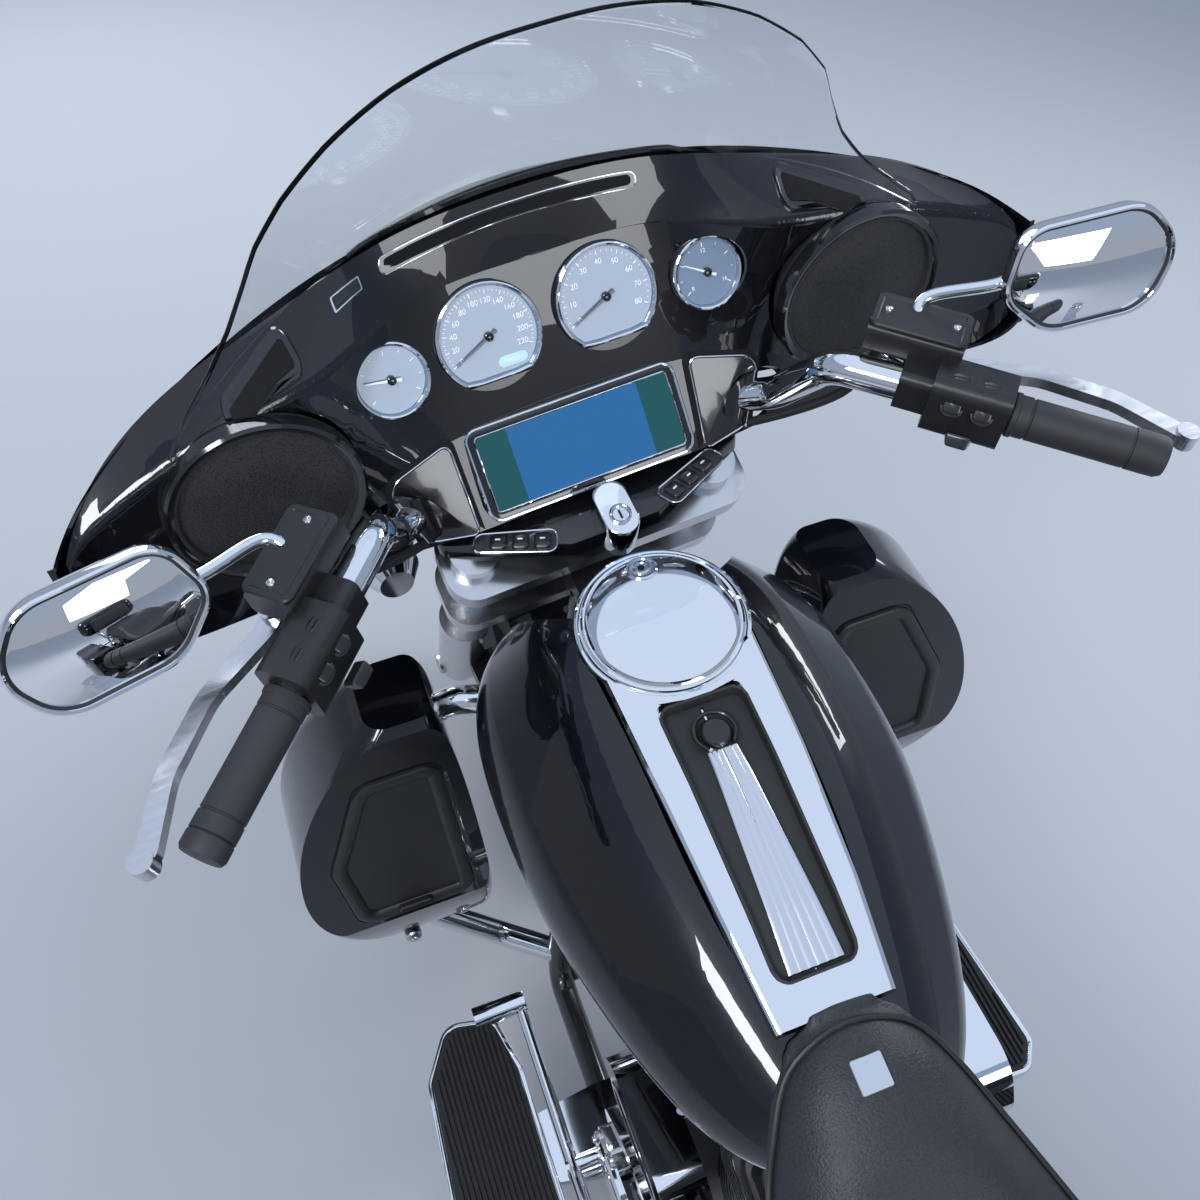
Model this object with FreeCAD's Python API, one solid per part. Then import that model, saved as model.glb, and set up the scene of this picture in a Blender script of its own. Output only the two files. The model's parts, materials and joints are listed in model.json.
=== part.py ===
import FreeCAD
import Part
import math
import os
from functools import lru_cache

V = FreeCAD.Vector
once = lru_cache(maxsize=None)

# Touring cruiser motorcycle with a V-twin engine, in millimetres.
# Every piece is drawn on the upright machine: +X forward, +Y left, +Z up,
# X = 0 at the rear axle and Z = 0 on the ground. The machine is then leaned
# on its side stand, and its origin is moved under the middle of its box.

# Driving dimensions
WHEELBASE = 1625
TYRE_R = 320
LEAN = 10
RAKE = 26
STEER_TURN = 4
TRAIL = 170
FORK_ANGLE = 29.25
WALL = 5
RUN_GAP = 0.3
BEARING_GAP = 0.5

# Tyres and rims: crown is the radius of the tread's round section
FRONT_CROWN = 65
REAR_CROWN = 90
FRONT_BEAD_R = 218
REAR_BEAD_R = 205
FRONT_BEAD_HALF = 50
REAR_BEAD_HALF = 63
SIDEWALL_TURN = 100
FLANGE = 8
RIM_WALL = 12
SPOKE_PAIRS = 5
AXLE_R = 12.5

# Fork, head and handlebar
LEG_Y = 127
LEG_R = 24.5
SLIDER_R = 33
STEM_R = 15.5
HEAD_R = 31
HEAD_Z = (796, 888)
BAR_R = 16
GRIP_BAR_R = 12.7
GRIP_R = 18

# Engine
CRANK = V(820, 0, 318)
V_HALF_ANGLE = 22.5
BARREL = (150, 268)
HEAD_END = 340
ROCKER_END = 396
BARREL_R = 62
FIN_R = 80
FINS = 9

# Frame tubes
TUBE_R = 16
RAIL_Y = 140
RAIL_Z = 175

# Rear end
PULLEY_R = 148.5
PULLEY_Y = (110, 136)
ARM_Y = (144, 164)
PIVOT = V(520, 0, 350)
FENDER_R = 354
FENDER_HALF = 112

# Luggage
BAG_IN_Y = 216
BAG_OUT_Y = 410
BAG_SPLIT_Z = 650
BAG_WALL = 4
TRUNK_SPLIT_Z = 985

# Side stand, drawn down: its pivot on the machine and its foot's place on the ground
STAND_PIVOT = V(720, 180, 172)
STAND_FOOT = V(822, 330, 0)
STAND_STOWED = V(-1, 0, 0.08)
STAND_R = 12


def lean_point(point):
    """Place or direction after the machine is leaned to the left on its stand."""
    return FreeCAD.Rotation(V(1, 0, 0), -LEAN).multVec(point)


def upright_point(point):
    """Place or direction of the leaned machine, on the upright one."""
    return FreeCAD.Rotation(V(1, 0, 0), LEAN).multVec(point)


STEER_AXIS = V(-math.sin(math.radians(RAKE)), 0, math.cos(math.radians(RAKE)))
STEER_FOOT = V(WHEELBASE + TRAIL, 0, 0)


def steered(point):
    """Place on the steering after the bars are turned to where they rest."""
    return STEER_FOOT + FreeCAD.Rotation(STEER_AXIS, STEER_TURN).multVec(point - STEER_FOOT)


def tyre_gap(axle, across, crown):
    """Height of a leaned tyre's lowest point; across is its axle's direction."""
    ring = (TYRE_R - crown) * math.sqrt(1 - lean_point(across).z ** 2)
    return lean_point(axle).z - ring - crown


def front_axle_height():
    """Axle height at which the leaned and turned front tyre touches the ground."""
    across = steered(V(0, 1, 0)) - steered(V(0, 0, 0))
    low, high = TYRE_R - 40, TYRE_R + 40
    while high - low > 1e-7:
        middle = (low + high) / 2
        if tyre_gap(steered(V(WHEELBASE, 0, middle)), across, FRONT_CROWN) > 0:
            high = middle
        else:
            low = middle
    return low


FRONT_AXLE = V(WHEELBASE, 0, front_axle_height())
REAR_AXLE = V(0, 0, TYRE_R - REAR_CROWN + REAR_CROWN / math.cos(math.radians(LEAN)))


def steer_point(z):
    """Point of the steering axis at a height."""
    return V(WHEELBASE + TRAIL - z * math.tan(math.radians(RAKE)), 0, z)


def leg_point(z, side):
    """Point of a fork leg's centre line at a height; side is 1 or -1."""
    back = (z - FRONT_AXLE.z) * math.tan(math.radians(FORK_ANGLE))
    return V(WHEELBASE - back, side * LEG_Y, z)


# Shapes that the pieces are made of

def unit(vector):
    """Copy of a vector with length one."""
    copy = V(vector)
    copy.normalize()
    return copy


def rod(a, b, r):
    """Round bar between two points."""
    return Part.makeCylinder(r, a.distanceToPoint(b), a, b - a)


def box(x, y, z):
    """Square block from pairs of limits."""
    return Part.makeBox(x[1] - x[0], y[1] - y[0], z[1] - z[0], V(x[0], y[0], z[0]))


def side_plane(y):
    return lambda u, w: V(u, y, w)


def front_plane(x):
    return lambda u, w: V(x, u, w)


def top_plane(z):
    return lambda u, w: V(u, w, z)


def tilted_plane(origin, along, up):
    """Plane through a point with its two directions."""
    a = unit(along)
    b = unit(up)
    return lambda u, w: origin + a * u + b * w


def rounded(points, radius, plane):
    """Closed wire through corner points, each corner rounded by an arc.

    radius is one number or one for each corner; zero leaves it sharp.
    """
    count = len(points)
    radii = radius if isinstance(radius, (list, tuple)) else [radius] * count
    spans = []
    for i in range(count):
        corner = V(points[i][0], points[i][1], 0)
        before = V(points[i - 1][0], points[i - 1][1], 0)
        after = V(points[(i + 1) % count][0], points[(i + 1) % count][1], 0)
        if radii[i] == 0:
            spans.append((corner, corner, corner))
            continue
        to_before = unit(before - corner)
        to_after = unit(after - corner)
        half = to_before.getAngle(to_after) / 2
        reach = radii[i] / math.tan(half)
        bisector = unit(to_before + to_after)
        centre = corner + bisector * (radii[i] / math.sin(half))
        spans.append((corner + to_before * reach, centre - bisector * radii[i], corner + to_after * reach))
    place = lambda p: plane(p.x, p.y)
    edges = []
    for i in range(count):
        start, middle, end = spans[i]
        if start.distanceToPoint(end) > 1e-6:
            edges.append(Part.Arc(place(start), place(middle), place(end)).toShape())
        following = spans[(i + 1) % count][0]
        if end.distanceToPoint(following) > 1e-6:
            edges.append(Part.LineSegment(place(end), place(following)).toShape())
    return Part.Wire(edges)


def slab(points, radius, plane, depth):
    """Rounded outline pushed along a vector."""
    return Part.Face(rounded(points, radius, plane)).extrude(depth)


def loft(wires):
    """Smooth closed body through like sections."""
    return Part.makeLoft(wires, True, False)


def turned(profile, base, axis):
    """Body turned round an axis from corners (radius, height along the axis)."""
    corners = [V(r, 0, h) for r, h in profile]
    face = Part.Face(Part.makePolygon(corners + corners[:1]))
    body = face.revolve(V(0, 0, 0), V(0, 0, 1), 360)
    body.Placement = FreeCAD.Placement(base, FreeCAD.Rotation(V(0, 0, 1), unit(axis)))
    return body


def wheel_turned(edges_or_points, centre, angle=360, start=0):
    """Body turned round a wheel's axle from corners (radius, y)."""
    corners = [V(centre.x, y, centre.z + r) for r, y in edges_or_points]
    face = Part.Face(Part.makePolygon(corners + corners[:1]))
    if start:
        face.rotate(centre, V(0, 1, 0), start)
    return face.revolve(centre, V(0, 1, 0), angle)


def tube(points, r, bend):
    """Round tube along runs joined by tangent arcs of one bend radius."""
    runs = []
    start = points[0]
    for i in range(1, len(points) - 1):
        corner = points[i]
        back = unit(points[i - 1] - corner)
        ahead = unit(points[i + 1] - corner)
        half = back.getAngle(ahead) / 2
        entry = corner + back * (bend / math.tan(half))
        leave = corner + ahead * (bend / math.tan(half))
        centre = corner + unit(back + ahead) * (bend / math.sin(half))
        section = Part.Face(Part.Wire(Part.Circle(entry, back, r).toShape()))
        axis = (entry - centre).cross(leave - centre)
        runs.append(rod(start, entry, r))
        runs.append(section.revolve(centre, axis, 180 - math.degrees(2 * half)))
        start = leave
    runs.append(rod(start, points[-1], r))
    return fuse(runs)


def fuse(shapes):
    """One body from touching shapes."""
    body = shapes[0].fuse(shapes[1:]) if len(shapes) > 1 else shapes[0]
    return body.removeSplitter()


def largest(shape):
    """Largest solid of a shape, which drops what a cut leaves outside."""
    return max(shape.Solids, key=lambda solid: solid.Volume)


def flipped(shape):
    """Mirror image on the machine's other side."""
    return shape.mirror(V(0, 0, 0), V(0, 1, 0))


def both(shape):
    """A piece and its mirror image."""
    return [shape, flipped(shape)]


def flip_point(point):
    """Mirror image of a place on the machine's other side."""
    return V(point.x, -point.y, point.z)


# Wheels

def tyre(centre, crown, bead_r, bead_half):
    """Closed ring with a round tread, straight lower sidewalls and bead seats."""
    ring_r = TYRE_R - crown
    turn = math.radians(SIDEWALL_TURN)
    side = (ring_r + crown * math.cos(turn), crown * math.sin(turn))
    lip = (bead_r + FLANGE, bead_half)
    half = [side, lip, (bead_r, bead_half)]
    corners = half + [(r, -y) for r, y in reversed(half)]
    place = lambda r, y: V(centre.x, y, centre.z + r)
    line = Part.makePolygon([place(r, y) for r, y in corners])
    crown_arc = Part.Arc(place(side[0], -side[1]), place(TYRE_R, 0), place(side[0], side[1])).toShape()
    face = Part.Face(Part.Wire(line.Edges + [crown_arc]))
    return face.revolve(centre, V(0, 1, 0), 360)


def rim(centre, bead_r, bead_half):
    """Wheel barrel with a flange outside each bead."""
    flange_r = bead_r + FLANGE
    half = [(bead_r, bead_half), (flange_r, bead_half), (flange_r, bead_half + FLANGE),
            (bead_r - RIM_WALL, bead_half + FLANGE), (bead_r - RIM_WALL - 4, bead_half * 0.6)]
    corners = half + [(r, -y) for r, y in reversed(half)]
    return wheel_turned(corners, centre)


def cast_wheel(centre, bead_r, bead_half, hub_y, hub_r):
    """Rim, paired spokes and hub, cast as one, with the axle bore."""
    spoke_half = 14
    foot_w = 17
    tip_w = 12
    spread = 13
    pieces = [rim(centre, bead_r, bead_half),
              rod(centre + V(0, hub_y[0], 0), centre + V(0, hub_y[1], 0), hub_r)]
    for pair in range(SPOKE_PAIRS):
        for lean in (-1, 1):
            foot_turn = math.radians(pair * 360 / SPOKE_PAIRS + lean * 5)
            tip_turn = math.radians(pair * 360 / SPOKE_PAIRS + lean * spread)
            foot = V(math.cos(foot_turn), 0, math.sin(foot_turn)) * (hub_r - 8)
            tip = V(math.cos(tip_turn), 0, math.sin(tip_turn)) * (bead_r - RIM_WALL)
            across = unit((tip - foot).cross(V(0, 1, 0)))
            corners = [foot - across * foot_w, tip - across * tip_w,
                       tip + across * tip_w, foot + across * foot_w]
            lifted = [centre + corner + V(0, -spoke_half, 0) for corner in corners]
            face = Part.Face(Part.makePolygon(lifted + lifted[:1]))
            pieces.append(face.extrude(V(0, 2 * spoke_half, 0)))
    bore = rod(centre + V(0, hub_y[0] - 1, 0), centre + V(0, hub_y[1] + 1, 0), AXLE_R + RUN_GAP)
    return fuse(pieces).cut(bore)


def brake_disc(centre, y, outer, inner, thick):
    """Flat disc with a ring of round windows in its carrier."""
    windows = 8
    window_r = 17
    disc = rod(centre + V(0, y, 0), centre + V(0, y + thick, 0), outer)
    cuts = [rod(centre + V(0, y - 1, 0), centre + V(0, y + thick + 1, 0), inner)]
    for i in range(windows):
        turn = math.radians(i * 360 / windows)
        middle = centre + V(math.cos(turn), 0, math.sin(turn)) * (outer * 0.56)
        cuts.append(rod(middle + V(0, y - 1, 0), middle + V(0, y + thick + 1, 0), window_r))
    return disc.cut(cuts)


FRONT_DISC_R = 150
FRONT_DISC_Y = 70
REAR_DISC_R = 146
REAR_DISC_Y = 112
DISC_THICK = 5
DISC_BORE = 30


@once
def front_tyre():
    return [tyre(FRONT_AXLE, FRONT_CROWN, FRONT_BEAD_R, FRONT_BEAD_HALF)]


@once
def rear_tyre():
    return [tyre(REAR_AXLE, REAR_CROWN, REAR_BEAD_R, REAR_BEAD_HALF)]


@once
def front_wheel():
    """Cast front wheel whose hub ends carry the discs on shoulders."""
    end = FRONT_DISC_Y + DISC_THICK + 2
    wheel = cast_wheel(FRONT_AXLE, FRONT_BEAD_R, FRONT_BEAD_HALF, (-FRONT_DISC_Y, FRONT_DISC_Y), 44)
    bosses = []
    for side in (1, -1):
        shoulder = FRONT_AXLE + V(0, side * FRONT_DISC_Y, 0)
        boss = rod(shoulder, FRONT_AXLE + V(0, side * end, 0), DISC_BORE)
        bosses.append(boss.cut(rod(shoulder, FRONT_AXLE + V(0, side * end, 0), AXLE_R + RUN_GAP)))
    return [fuse([wheel] + bosses)]


@once
def front_discs():
    disc = brake_disc(FRONT_AXLE, FRONT_DISC_Y, FRONT_DISC_R, DISC_BORE, DISC_THICK)
    return both(disc)


@once
def rear_wheel():
    """Cast rear wheel with the belt pulley on its left hub face."""
    hub_y = (-REAR_DISC_Y, PULLEY_Y[0])
    wheel = cast_wheel(REAR_AXLE, REAR_BEAD_R, REAR_BEAD_HALF, hub_y, 52)
    boss_end = REAR_DISC_Y + DISC_THICK + 3
    left = REAR_AXLE + V(0, PULLEY_Y[0], 0)
    right = REAR_AXLE + V(0, -REAR_DISC_Y, 0)
    boss = rod(right, REAR_AXLE + V(0, -boss_end, 0), DISC_BORE)
    pulley = rod(left, REAR_AXLE + V(0, PULLEY_Y[1], 0), PULLEY_R)
    windows = []
    for i in range(SPOKE_PAIRS):
        turn = math.radians(36 + i * 360 / SPOKE_PAIRS)
        middle = left + V(math.cos(turn), 0, math.sin(turn)) * 92
        windows.append(rod(middle - V(0, 1, 0), middle + V(0, 40, 0), 28))
    bore = rod(REAR_AXLE + V(0, -boss_end - 1, 0), REAR_AXLE + V(0, PULLEY_Y[1] + 1, 0), AXLE_R + RUN_GAP)
    return [fuse([wheel, boss, pulley.cut(windows)]).cut(bore)]


@once
def rear_disc():
    return [brake_disc(REAR_AXLE, -REAR_DISC_Y - DISC_THICK, REAR_DISC_R, DISC_BORE, DISC_THICK)]


# Fork, steering and front fender

def clamp(z, thick, half_width):
    """Fork clamp plate square to the steering axis, from the stem to both legs."""
    origin = steer_point(z)
    plane = tilted_plane(origin, V(math.cos(math.radians(RAKE)), 0, math.sin(math.radians(RAKE))), V(0, 1, 0))
    back = leg_point(z, 1).x - origin.x
    outline = [(38, -46), (38, 46), (back + 36, half_width), (back - 40, half_width),
               (back - 40, -half_width), (back + 36, -half_width)]
    return slab(outline, [24, 24, 30, 30, 30, 30], plane, STEER_AXIS * thick)


@once
def fork():
    """Legs, sliders, both clamps, stem and front axle."""
    upper_z = HEAD_Z[1] + BEARING_GAP
    lower_z = HEAD_Z[0] - BEARING_GAP
    clamp_thick = 30
    pieces = [rod(steer_point(lower_z - 20), steer_point(upper_z + 20), STEM_R),
              clamp(upper_z, clamp_thick, LEG_Y + 34)]
    lower = clamp(lower_z, clamp_thick, LEG_Y + 34)
    lower.translate(STEER_AXIS * -clamp_thick)
    pieces.append(lower)
    for side in (1, -1):
        pieces.append(rod(leg_point(560, side), leg_point(912, side), LEG_R))
        pieces.append(rod(leg_point(FRONT_AXLE.z - 34, side), leg_point(610, side), SLIDER_R))
    axle_end = LEG_Y + SLIDER_R - 4
    pieces.append(rod(FRONT_AXLE + V(0, -axle_end, 0), FRONT_AXLE + V(0, axle_end, 0), AXLE_R))
    return [fuse(pieces)]


# Handlebar route on the left: x, y, z
BAR_ROUTE = [V(1362, 0, 935), V(1362, 120, 935), V(1292, 196, 972), V(1228, 214, 1048), V(1150, 288, 1040)]
GRIP_START = V(1113, 322, 1035)
GRIP_END = V(1023, 414, 1018)
GRIP_DIR = unit(GRIP_END - GRIP_START)


@once
def handlebar():
    """Thick bar on two risers, stepped down under the controls and grips."""
    route = [V(p.x, -p.y, p.z) for p in reversed(BAR_ROUTE[1:])] + BAR_ROUTE[1:]
    bar = tube(route, BAR_R, 30)
    ends = both(tube([BAR_ROUTE[-1], GRIP_START - GRIP_DIR * 20, GRIP_END], GRIP_BAR_R, 60))
    risers = []
    for side in (1, -1):
        foot = steer_point(HEAD_Z[1] + 20) + V(0, side * 58, 0)
        riser = rod(foot, V(BAR_ROUTE[0].x, side * 58, BAR_ROUTE[0].z), 19)
        risers.append(riser)
    whole = fuse([bar] + ends + risers)
    return [largest(whole.cut(fork()[0]))]


@once
def grips():
    """Rubber sleeves over the bar ends with a rounded end cap."""
    sleeve = rod(GRIP_START, GRIP_END + GRIP_DIR * 4, GRIP_R)
    sleeve = fuse([sleeve, rod(GRIP_END - GRIP_DIR * 8, GRIP_END + GRIP_DIR * 2, GRIP_R + 3)])
    sleeve = sleeve.cut(handlebar())
    return both(sleeve)


def bar_block(centre, length, width, height, radius, up=V(0, 0, 1)):
    """Rounded block whose length runs along the grip."""
    across = unit(GRIP_DIR.cross(up))
    top = unit(across.cross(GRIP_DIR))
    plane = tilted_plane(centre - GRIP_DIR * (length / 2), across, top)
    half_w = width / 2
    half_h = height / 2
    outline = [(-half_w, -half_h), (half_w, -half_h), (half_w, half_h), (-half_w, half_h)]
    return slab(outline, radius, plane, GRIP_DIR * length)


@once
def hand_controls():
    """Switch housings and fluid reservoirs clamped on the bar."""
    bar = handlebar()[0]
    housing_mid = GRIP_START - GRIP_DIR * 36
    housing = bar_block(housing_mid, 68, 46, 60, 12)
    forward = unit(V(GRIP_DIR.y, -GRIP_DIR.x, 0))
    perch = bar_block(GRIP_START - GRIP_DIR * 84 + forward * 8, 28, 46, 40, 8)
    reservoir_mid = GRIP_START - GRIP_DIR * 92 + forward * 34 + V(0, 0, 26)
    reservoir = bar_block(reservoir_mid, 84, 44, 30, 7)
    lever_seat = rod(GRIP_START - GRIP_DIR * 66 + forward * 16 + V(0, 0, -8),
                     GRIP_START - GRIP_DIR * 66 + forward * 44 + V(0, 0, -8), 9)
    whole = fuse([housing, perch, reservoir, lever_seat]).cut(bar)
    return both(largest(whole))


@once
def levers():
    """Clutch and brake levers ahead of the grips: bowed blades with a knobbed tip."""
    forward = unit(V(GRIP_DIR.y, -GRIP_DIR.x, 0))
    upward = unit(forward.cross(GRIP_DIR))
    if upward.z < 0:
        upward = upward * -1
    root = GRIP_START - GRIP_DIR * 66 + forward * 50 + V(0, 0, -8)
    half = 5.5
    plane = tilted_plane(root - upward * half, GRIP_DIR, forward)
    outline = [(-14, -10), (20, -9), (84, 8), (150, 4), (204, -16), (222, -16), (222, 0), (206, 2),
               (150, 20), (84, 23), (20, 9), (-14, 10)]
    blade = slab(outline, [8, 30, 60, 60, 10, 6, 6, 10, 60, 60, 30, 8], plane, upward * (2 * half))
    boss = rod(root - upward * 12, root + upward * 12, 12)
    knob_at = root + GRIP_DIR * 214 + forward * -8
    knob = rod(knob_at - upward * 8, knob_at + upward * 8, 10)
    return both(largest(fuse([blade, boss, knob]).cut(hand_controls()[0])))


MIRROR_MID = V(1161, 417, 1117)
MIRROR_OUT = V(-math.cos(math.radians(16)), -0.20, math.sin(math.radians(16)))


def mirror_outline(grow):
    """Rounded mirror face, wider outside, with its lower inner corner cut."""
    return [(-72 - grow, -8 - grow), (-30, -46 - grow), (62 + grow, -40 - grow),
            (78 + grow, 12), (40, 47 + grow), (-58 - grow, 40 + grow)]


def mirror_plane(depth):
    out = unit(MIRROR_OUT)
    along = unit(V(0, 0, 1).cross(out))
    if along.y < 0:
        along = along * -1
    return tilted_plane(MIRROR_MID + out * depth, along, out.cross(along) * (1 if out.cross(along).z > 0 else -1))


@once
def mirrors():
    """Chrome heads on curved stems, with a pocket for the glass."""
    out = unit(MIRROR_OUT)
    rim_wire = rounded(mirror_outline(4), [14, 24, 24, 24, 24, 20], mirror_plane(0))
    mid_wire = rounded(mirror_outline(3), [14, 24, 24, 24, 24, 20], mirror_plane(-12))
    back_wire = rounded(mirror_outline(-22), [6, 10, 10, 10, 10, 8], mirror_plane(-28))
    head = Part.makeLoft([rim_wire, mid_wire, back_wire], True, True)
    pocket = slab(mirror_outline(0), [12, 22, 22, 22, 22, 18], mirror_plane(-4), out * 10)
    head = head.cut(pocket)
    root = GRIP_START - GRIP_DIR * 84 + unit(V(GRIP_DIR.y, -GRIP_DIR.x, 0)) * 20 + V(0, 0, 12)
    stem = tube([root, root + V(26, 6, 26), MIRROR_MID + V(30, -40, -8), MIRROR_MID + V(14, 0, 0)], 6, 22)
    whole = fuse([head, stem])
    return both(largest(whole.cut(hand_controls()[0])))


@once
def mirror_glass():
    return both(slab(mirror_outline(0), [12, 22, 22, 22, 22, 18], mirror_plane(-4), unit(MIRROR_OUT) * 3))


FENDER_FRONT_R = 346
FENDER_FRONT_HALF = 80


def fender_shell(centre, outer, half, skirt, thick, start, sweep):
    """Curved U section turned round the axle; start is degrees forward of the top."""
    corner = 26
    profile = [(outer - skirt, -half), (outer - corner, -half), (outer, -half + corner),
               (outer, half - corner), (outer - corner, half), (outer - skirt, half),
               (outer - skirt, half - thick), (outer - corner - 2, half - thick),
               (outer - thick, half - corner - 2), (outer - thick, -half + corner + 2),
               (outer - corner - 2, -half + thick), (outer - skirt, -half + thick)]
    return wheel_turned(profile, centre, -sweep, start)


@once
def front_fender():
    """Deep fender between the sliders, on a bracket at each side."""
    shell = fender_shell(FRONT_AXLE, FENDER_FRONT_R, FENDER_FRONT_HALF, 92, 3, 58, 160)
    legs = fork()[0]
    brackets = []
    for side in (1, -1):
        hold = leg_point(572, side)
        plane = side_plane(side * (FENDER_FRONT_HALF - 2))
        outline = [(hold.x - 24, hold.z - 42), (hold.x + 46, hold.z - 42),
                   (hold.x + 26, hold.z + 34), (hold.x - 40, hold.z + 34)]
        brackets.append(slab(outline, 8, plane, V(0, side * (LEG_Y - FENDER_FRONT_HALF - 10), 0)))
    return [largest(fuse([shell] + brackets).cut(legs))]


CALIPER_TURN = 150


@once
def front_calipers():
    """Four-piston calipers straddling the discs behind the legs."""
    turn = math.radians(CALIPER_TURN)
    middle = FRONT_AXLE + V(math.cos(turn), 0, math.sin(turn)) * 128
    plane = side_plane(FRONT_DISC_Y - 24)
    outline = [(middle.x - 34, middle.z - 62), (middle.x + 30, middle.z - 56),
               (middle.x + 30, middle.z + 56), (middle.x - 34, middle.z + 62)]
    body = slab(outline, 16, plane, V(0, 50 + 4, 0))
    slot = rod(FRONT_AXLE + V(0, FRONT_DISC_Y - 5.5, 0),
               FRONT_AXLE + V(0, FRONT_DISC_Y + DISC_THICK + 5.5, 0), FRONT_DISC_R + 6)
    arm = box((middle.x - 10, middle.x + 42), (FRONT_DISC_Y + 14, LEG_Y), (middle.z - 20, middle.z + 20))
    body = fuse([body.cut(slot), arm]).cut(fork()[0])
    return both(largest(body))


# Fairing: outline at each side station y, corners (x, z) named
# rear low, front low, nose, front top, rear top
OUTER_STATIONS = [
    (0, (1452, 830), (1590, 812), (1646, 925), (1480, 1170), (1406, 1207)),
    (130, (1440, 862), (1556, 856), (1608, 935), (1468, 1155), (1402, 1196)),
    (250, (1395, 900), (1490, 895), (1540, 955), (1440, 1115), (1385, 1168)),
    (350, (1340, 912), (1420, 910), (1468, 970), (1405, 1075), (1350, 1138)),
    (420, (1290, 935), (1350, 935), (1392, 990), (1360, 1050), (1316, 1106)),
    (458, (1268, 970), (1292, 970), (1312, 1005), (1300, 1045), (1284, 1078)),
]

OUTER_RADII = [0, 14, 40, 30, 0]

# Dash panel face at each station y, points (x, z) named
# lower edge, face break, brow, rim
INNER_STATIONS = [
    (0, (1292, 938), (1340, 1015), (1386, 1142), (1402, 1200)),
    (130, (1290, 936), (1330, 1015), (1372, 1140), (1398, 1190)),
    (205, (1300, 932), (1316, 1000), (1330, 1138), (1383, 1176)),
    (286, (1304, 925), (1309, 965), (1310, 1136), (1362, 1160)),
    (360, (1298, 928), (1304, 965), (1306, 1112), (1346, 1134)),
    (420, (1286, 945), (1295, 980), (1298, 1088), (1314, 1102)),
    (450, (1276, 978), (1284, 996), (1288, 1062), (1292, 1070)),
]


def mirrored(stations):
    """Stations of both sides, from right to left."""
    return [(-s[0],) + s[1:] for s in reversed(stations[1:])] + stations


def fairing_radii(y, radii):
    """Corner radii of a fairing section, smaller at the thin tips."""
    return [r * (0.35 if abs(y) > 440 else 1) for r in radii]


def fairing_band(y, corners):
    """Section of the fairing's skin at a side station, open to the rear."""
    low, front_low, nose, top, rear_top = corners
    inside = [(rear_top[0], rear_top[1] - WALL), (top[0] - WALL, top[1] - WALL), (nose[0] - WALL * 1.3, nose[1]),
              (front_low[0] - WALL, front_low[1] + WALL), (low[0], low[1] + WALL)]
    radii = fairing_radii(y, OUTER_RADII + [0, 25, 34, 10, 0])
    return rounded(corners + inside, radii, side_plane(y))


@once
def outer_fairing():
    """Wrap-round fairing skin, open to the rear, with the lamp's round opening."""
    skin = loft([fairing_band(y, corners) for y, *corners in mirrored(OUTER_STATIONS)])
    tip_y, *tip = OUTER_STATIONS[-1]
    radii = fairing_radii(tip_y, OUTER_RADII)
    ends = [slab(tip, radii, side_plane(side * tip_y), V(0, side * WALL, 0)) for side in (1, -1)]
    lamp = rod(V(1500, 0, HEADLAMP_Z), V(1700, 0, HEADLAMP_Z), HEADLAMP_R)
    return [largest(fuse([skin] + ends).cut(lamp))]


HEADLAMP_Z = 922
HEADLAMP_R = 92


def dash_section(y, points, wall):
    """Thin band behind the dash face at a side station."""
    front = [(x, z) for x, z in points]
    back = [(x + wall, z) for x, z in reversed(points)]
    radii = [0, 14, 14, 0, 0, 10, 10, 0]
    if abs(y) > 440:
        radii = [0, 4, 4, 0, 0, 3, 3, 0]
    return rounded(front + back, radii, side_plane(y))


# Gauges: x, y, z of the face's middle and bezel radius; the tilt is from upright
GAUGES = [(1366, 57, 1090, 48), (1366, -57, 1090, 48), (1353, 152, 1090, 33), (1353, -152, 1090, 33)]
GAUGE_TILT = 24
GAUGE_OUT = V(-math.cos(math.radians(GAUGE_TILT)), 0, math.sin(math.radians(GAUGE_TILT)))
SPEAKER_MID = V(1306, 286, 1052)
SPEAKER_R = 84


@once
def inner_fairing():
    """Dash panel behind the windshield, holed for gauges, screen and speakers."""
    panel = loft([dash_section(y, points, WALL) for y, *points in mirrored(INNER_STATIONS)])
    cuts = [outer_fairing()[0]]
    for x, y, z, r in GAUGES:
        middle = V(x, y, z)
        cuts.append(rod(middle - GAUGE_OUT * 60, middle + GAUGE_OUT * 60, r))
    for side in (1, -1):
        middle = V(SPEAKER_MID.x, side * SPEAKER_MID.y, SPEAKER_MID.z)
        cuts.append(rod(middle - V(60, 0, 0), middle + V(60, 0, 0), SPEAKER_R))
        cuts.append(rod(V(1380, side * 100, 925), V(1262, side * 229, 988), BAR_R + 10))
    cuts.append(screen_body(0))
    return [largest(panel.cut(cuts))]


@once
def gauges():
    """Cups with a bezel ring; each passes the dash and ends behind it."""
    cups = []
    for x, y, z, r in GAUGES:
        profile = [(0, -34), (r - 4, -34), (r, -8), (r, 2), (r + 2, 4), (r - 1, 8), (r - 4, 4), (r - 4, 1), (0, 1)]
        cups.append(turned(profile, V(x, y, z), GAUGE_OUT).cut(inner_fairing()))
    return [largest(cup) for cup in cups]


SCREEN_TILT = 38
SCREEN_MID = V(1318, 0, 976)


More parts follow.
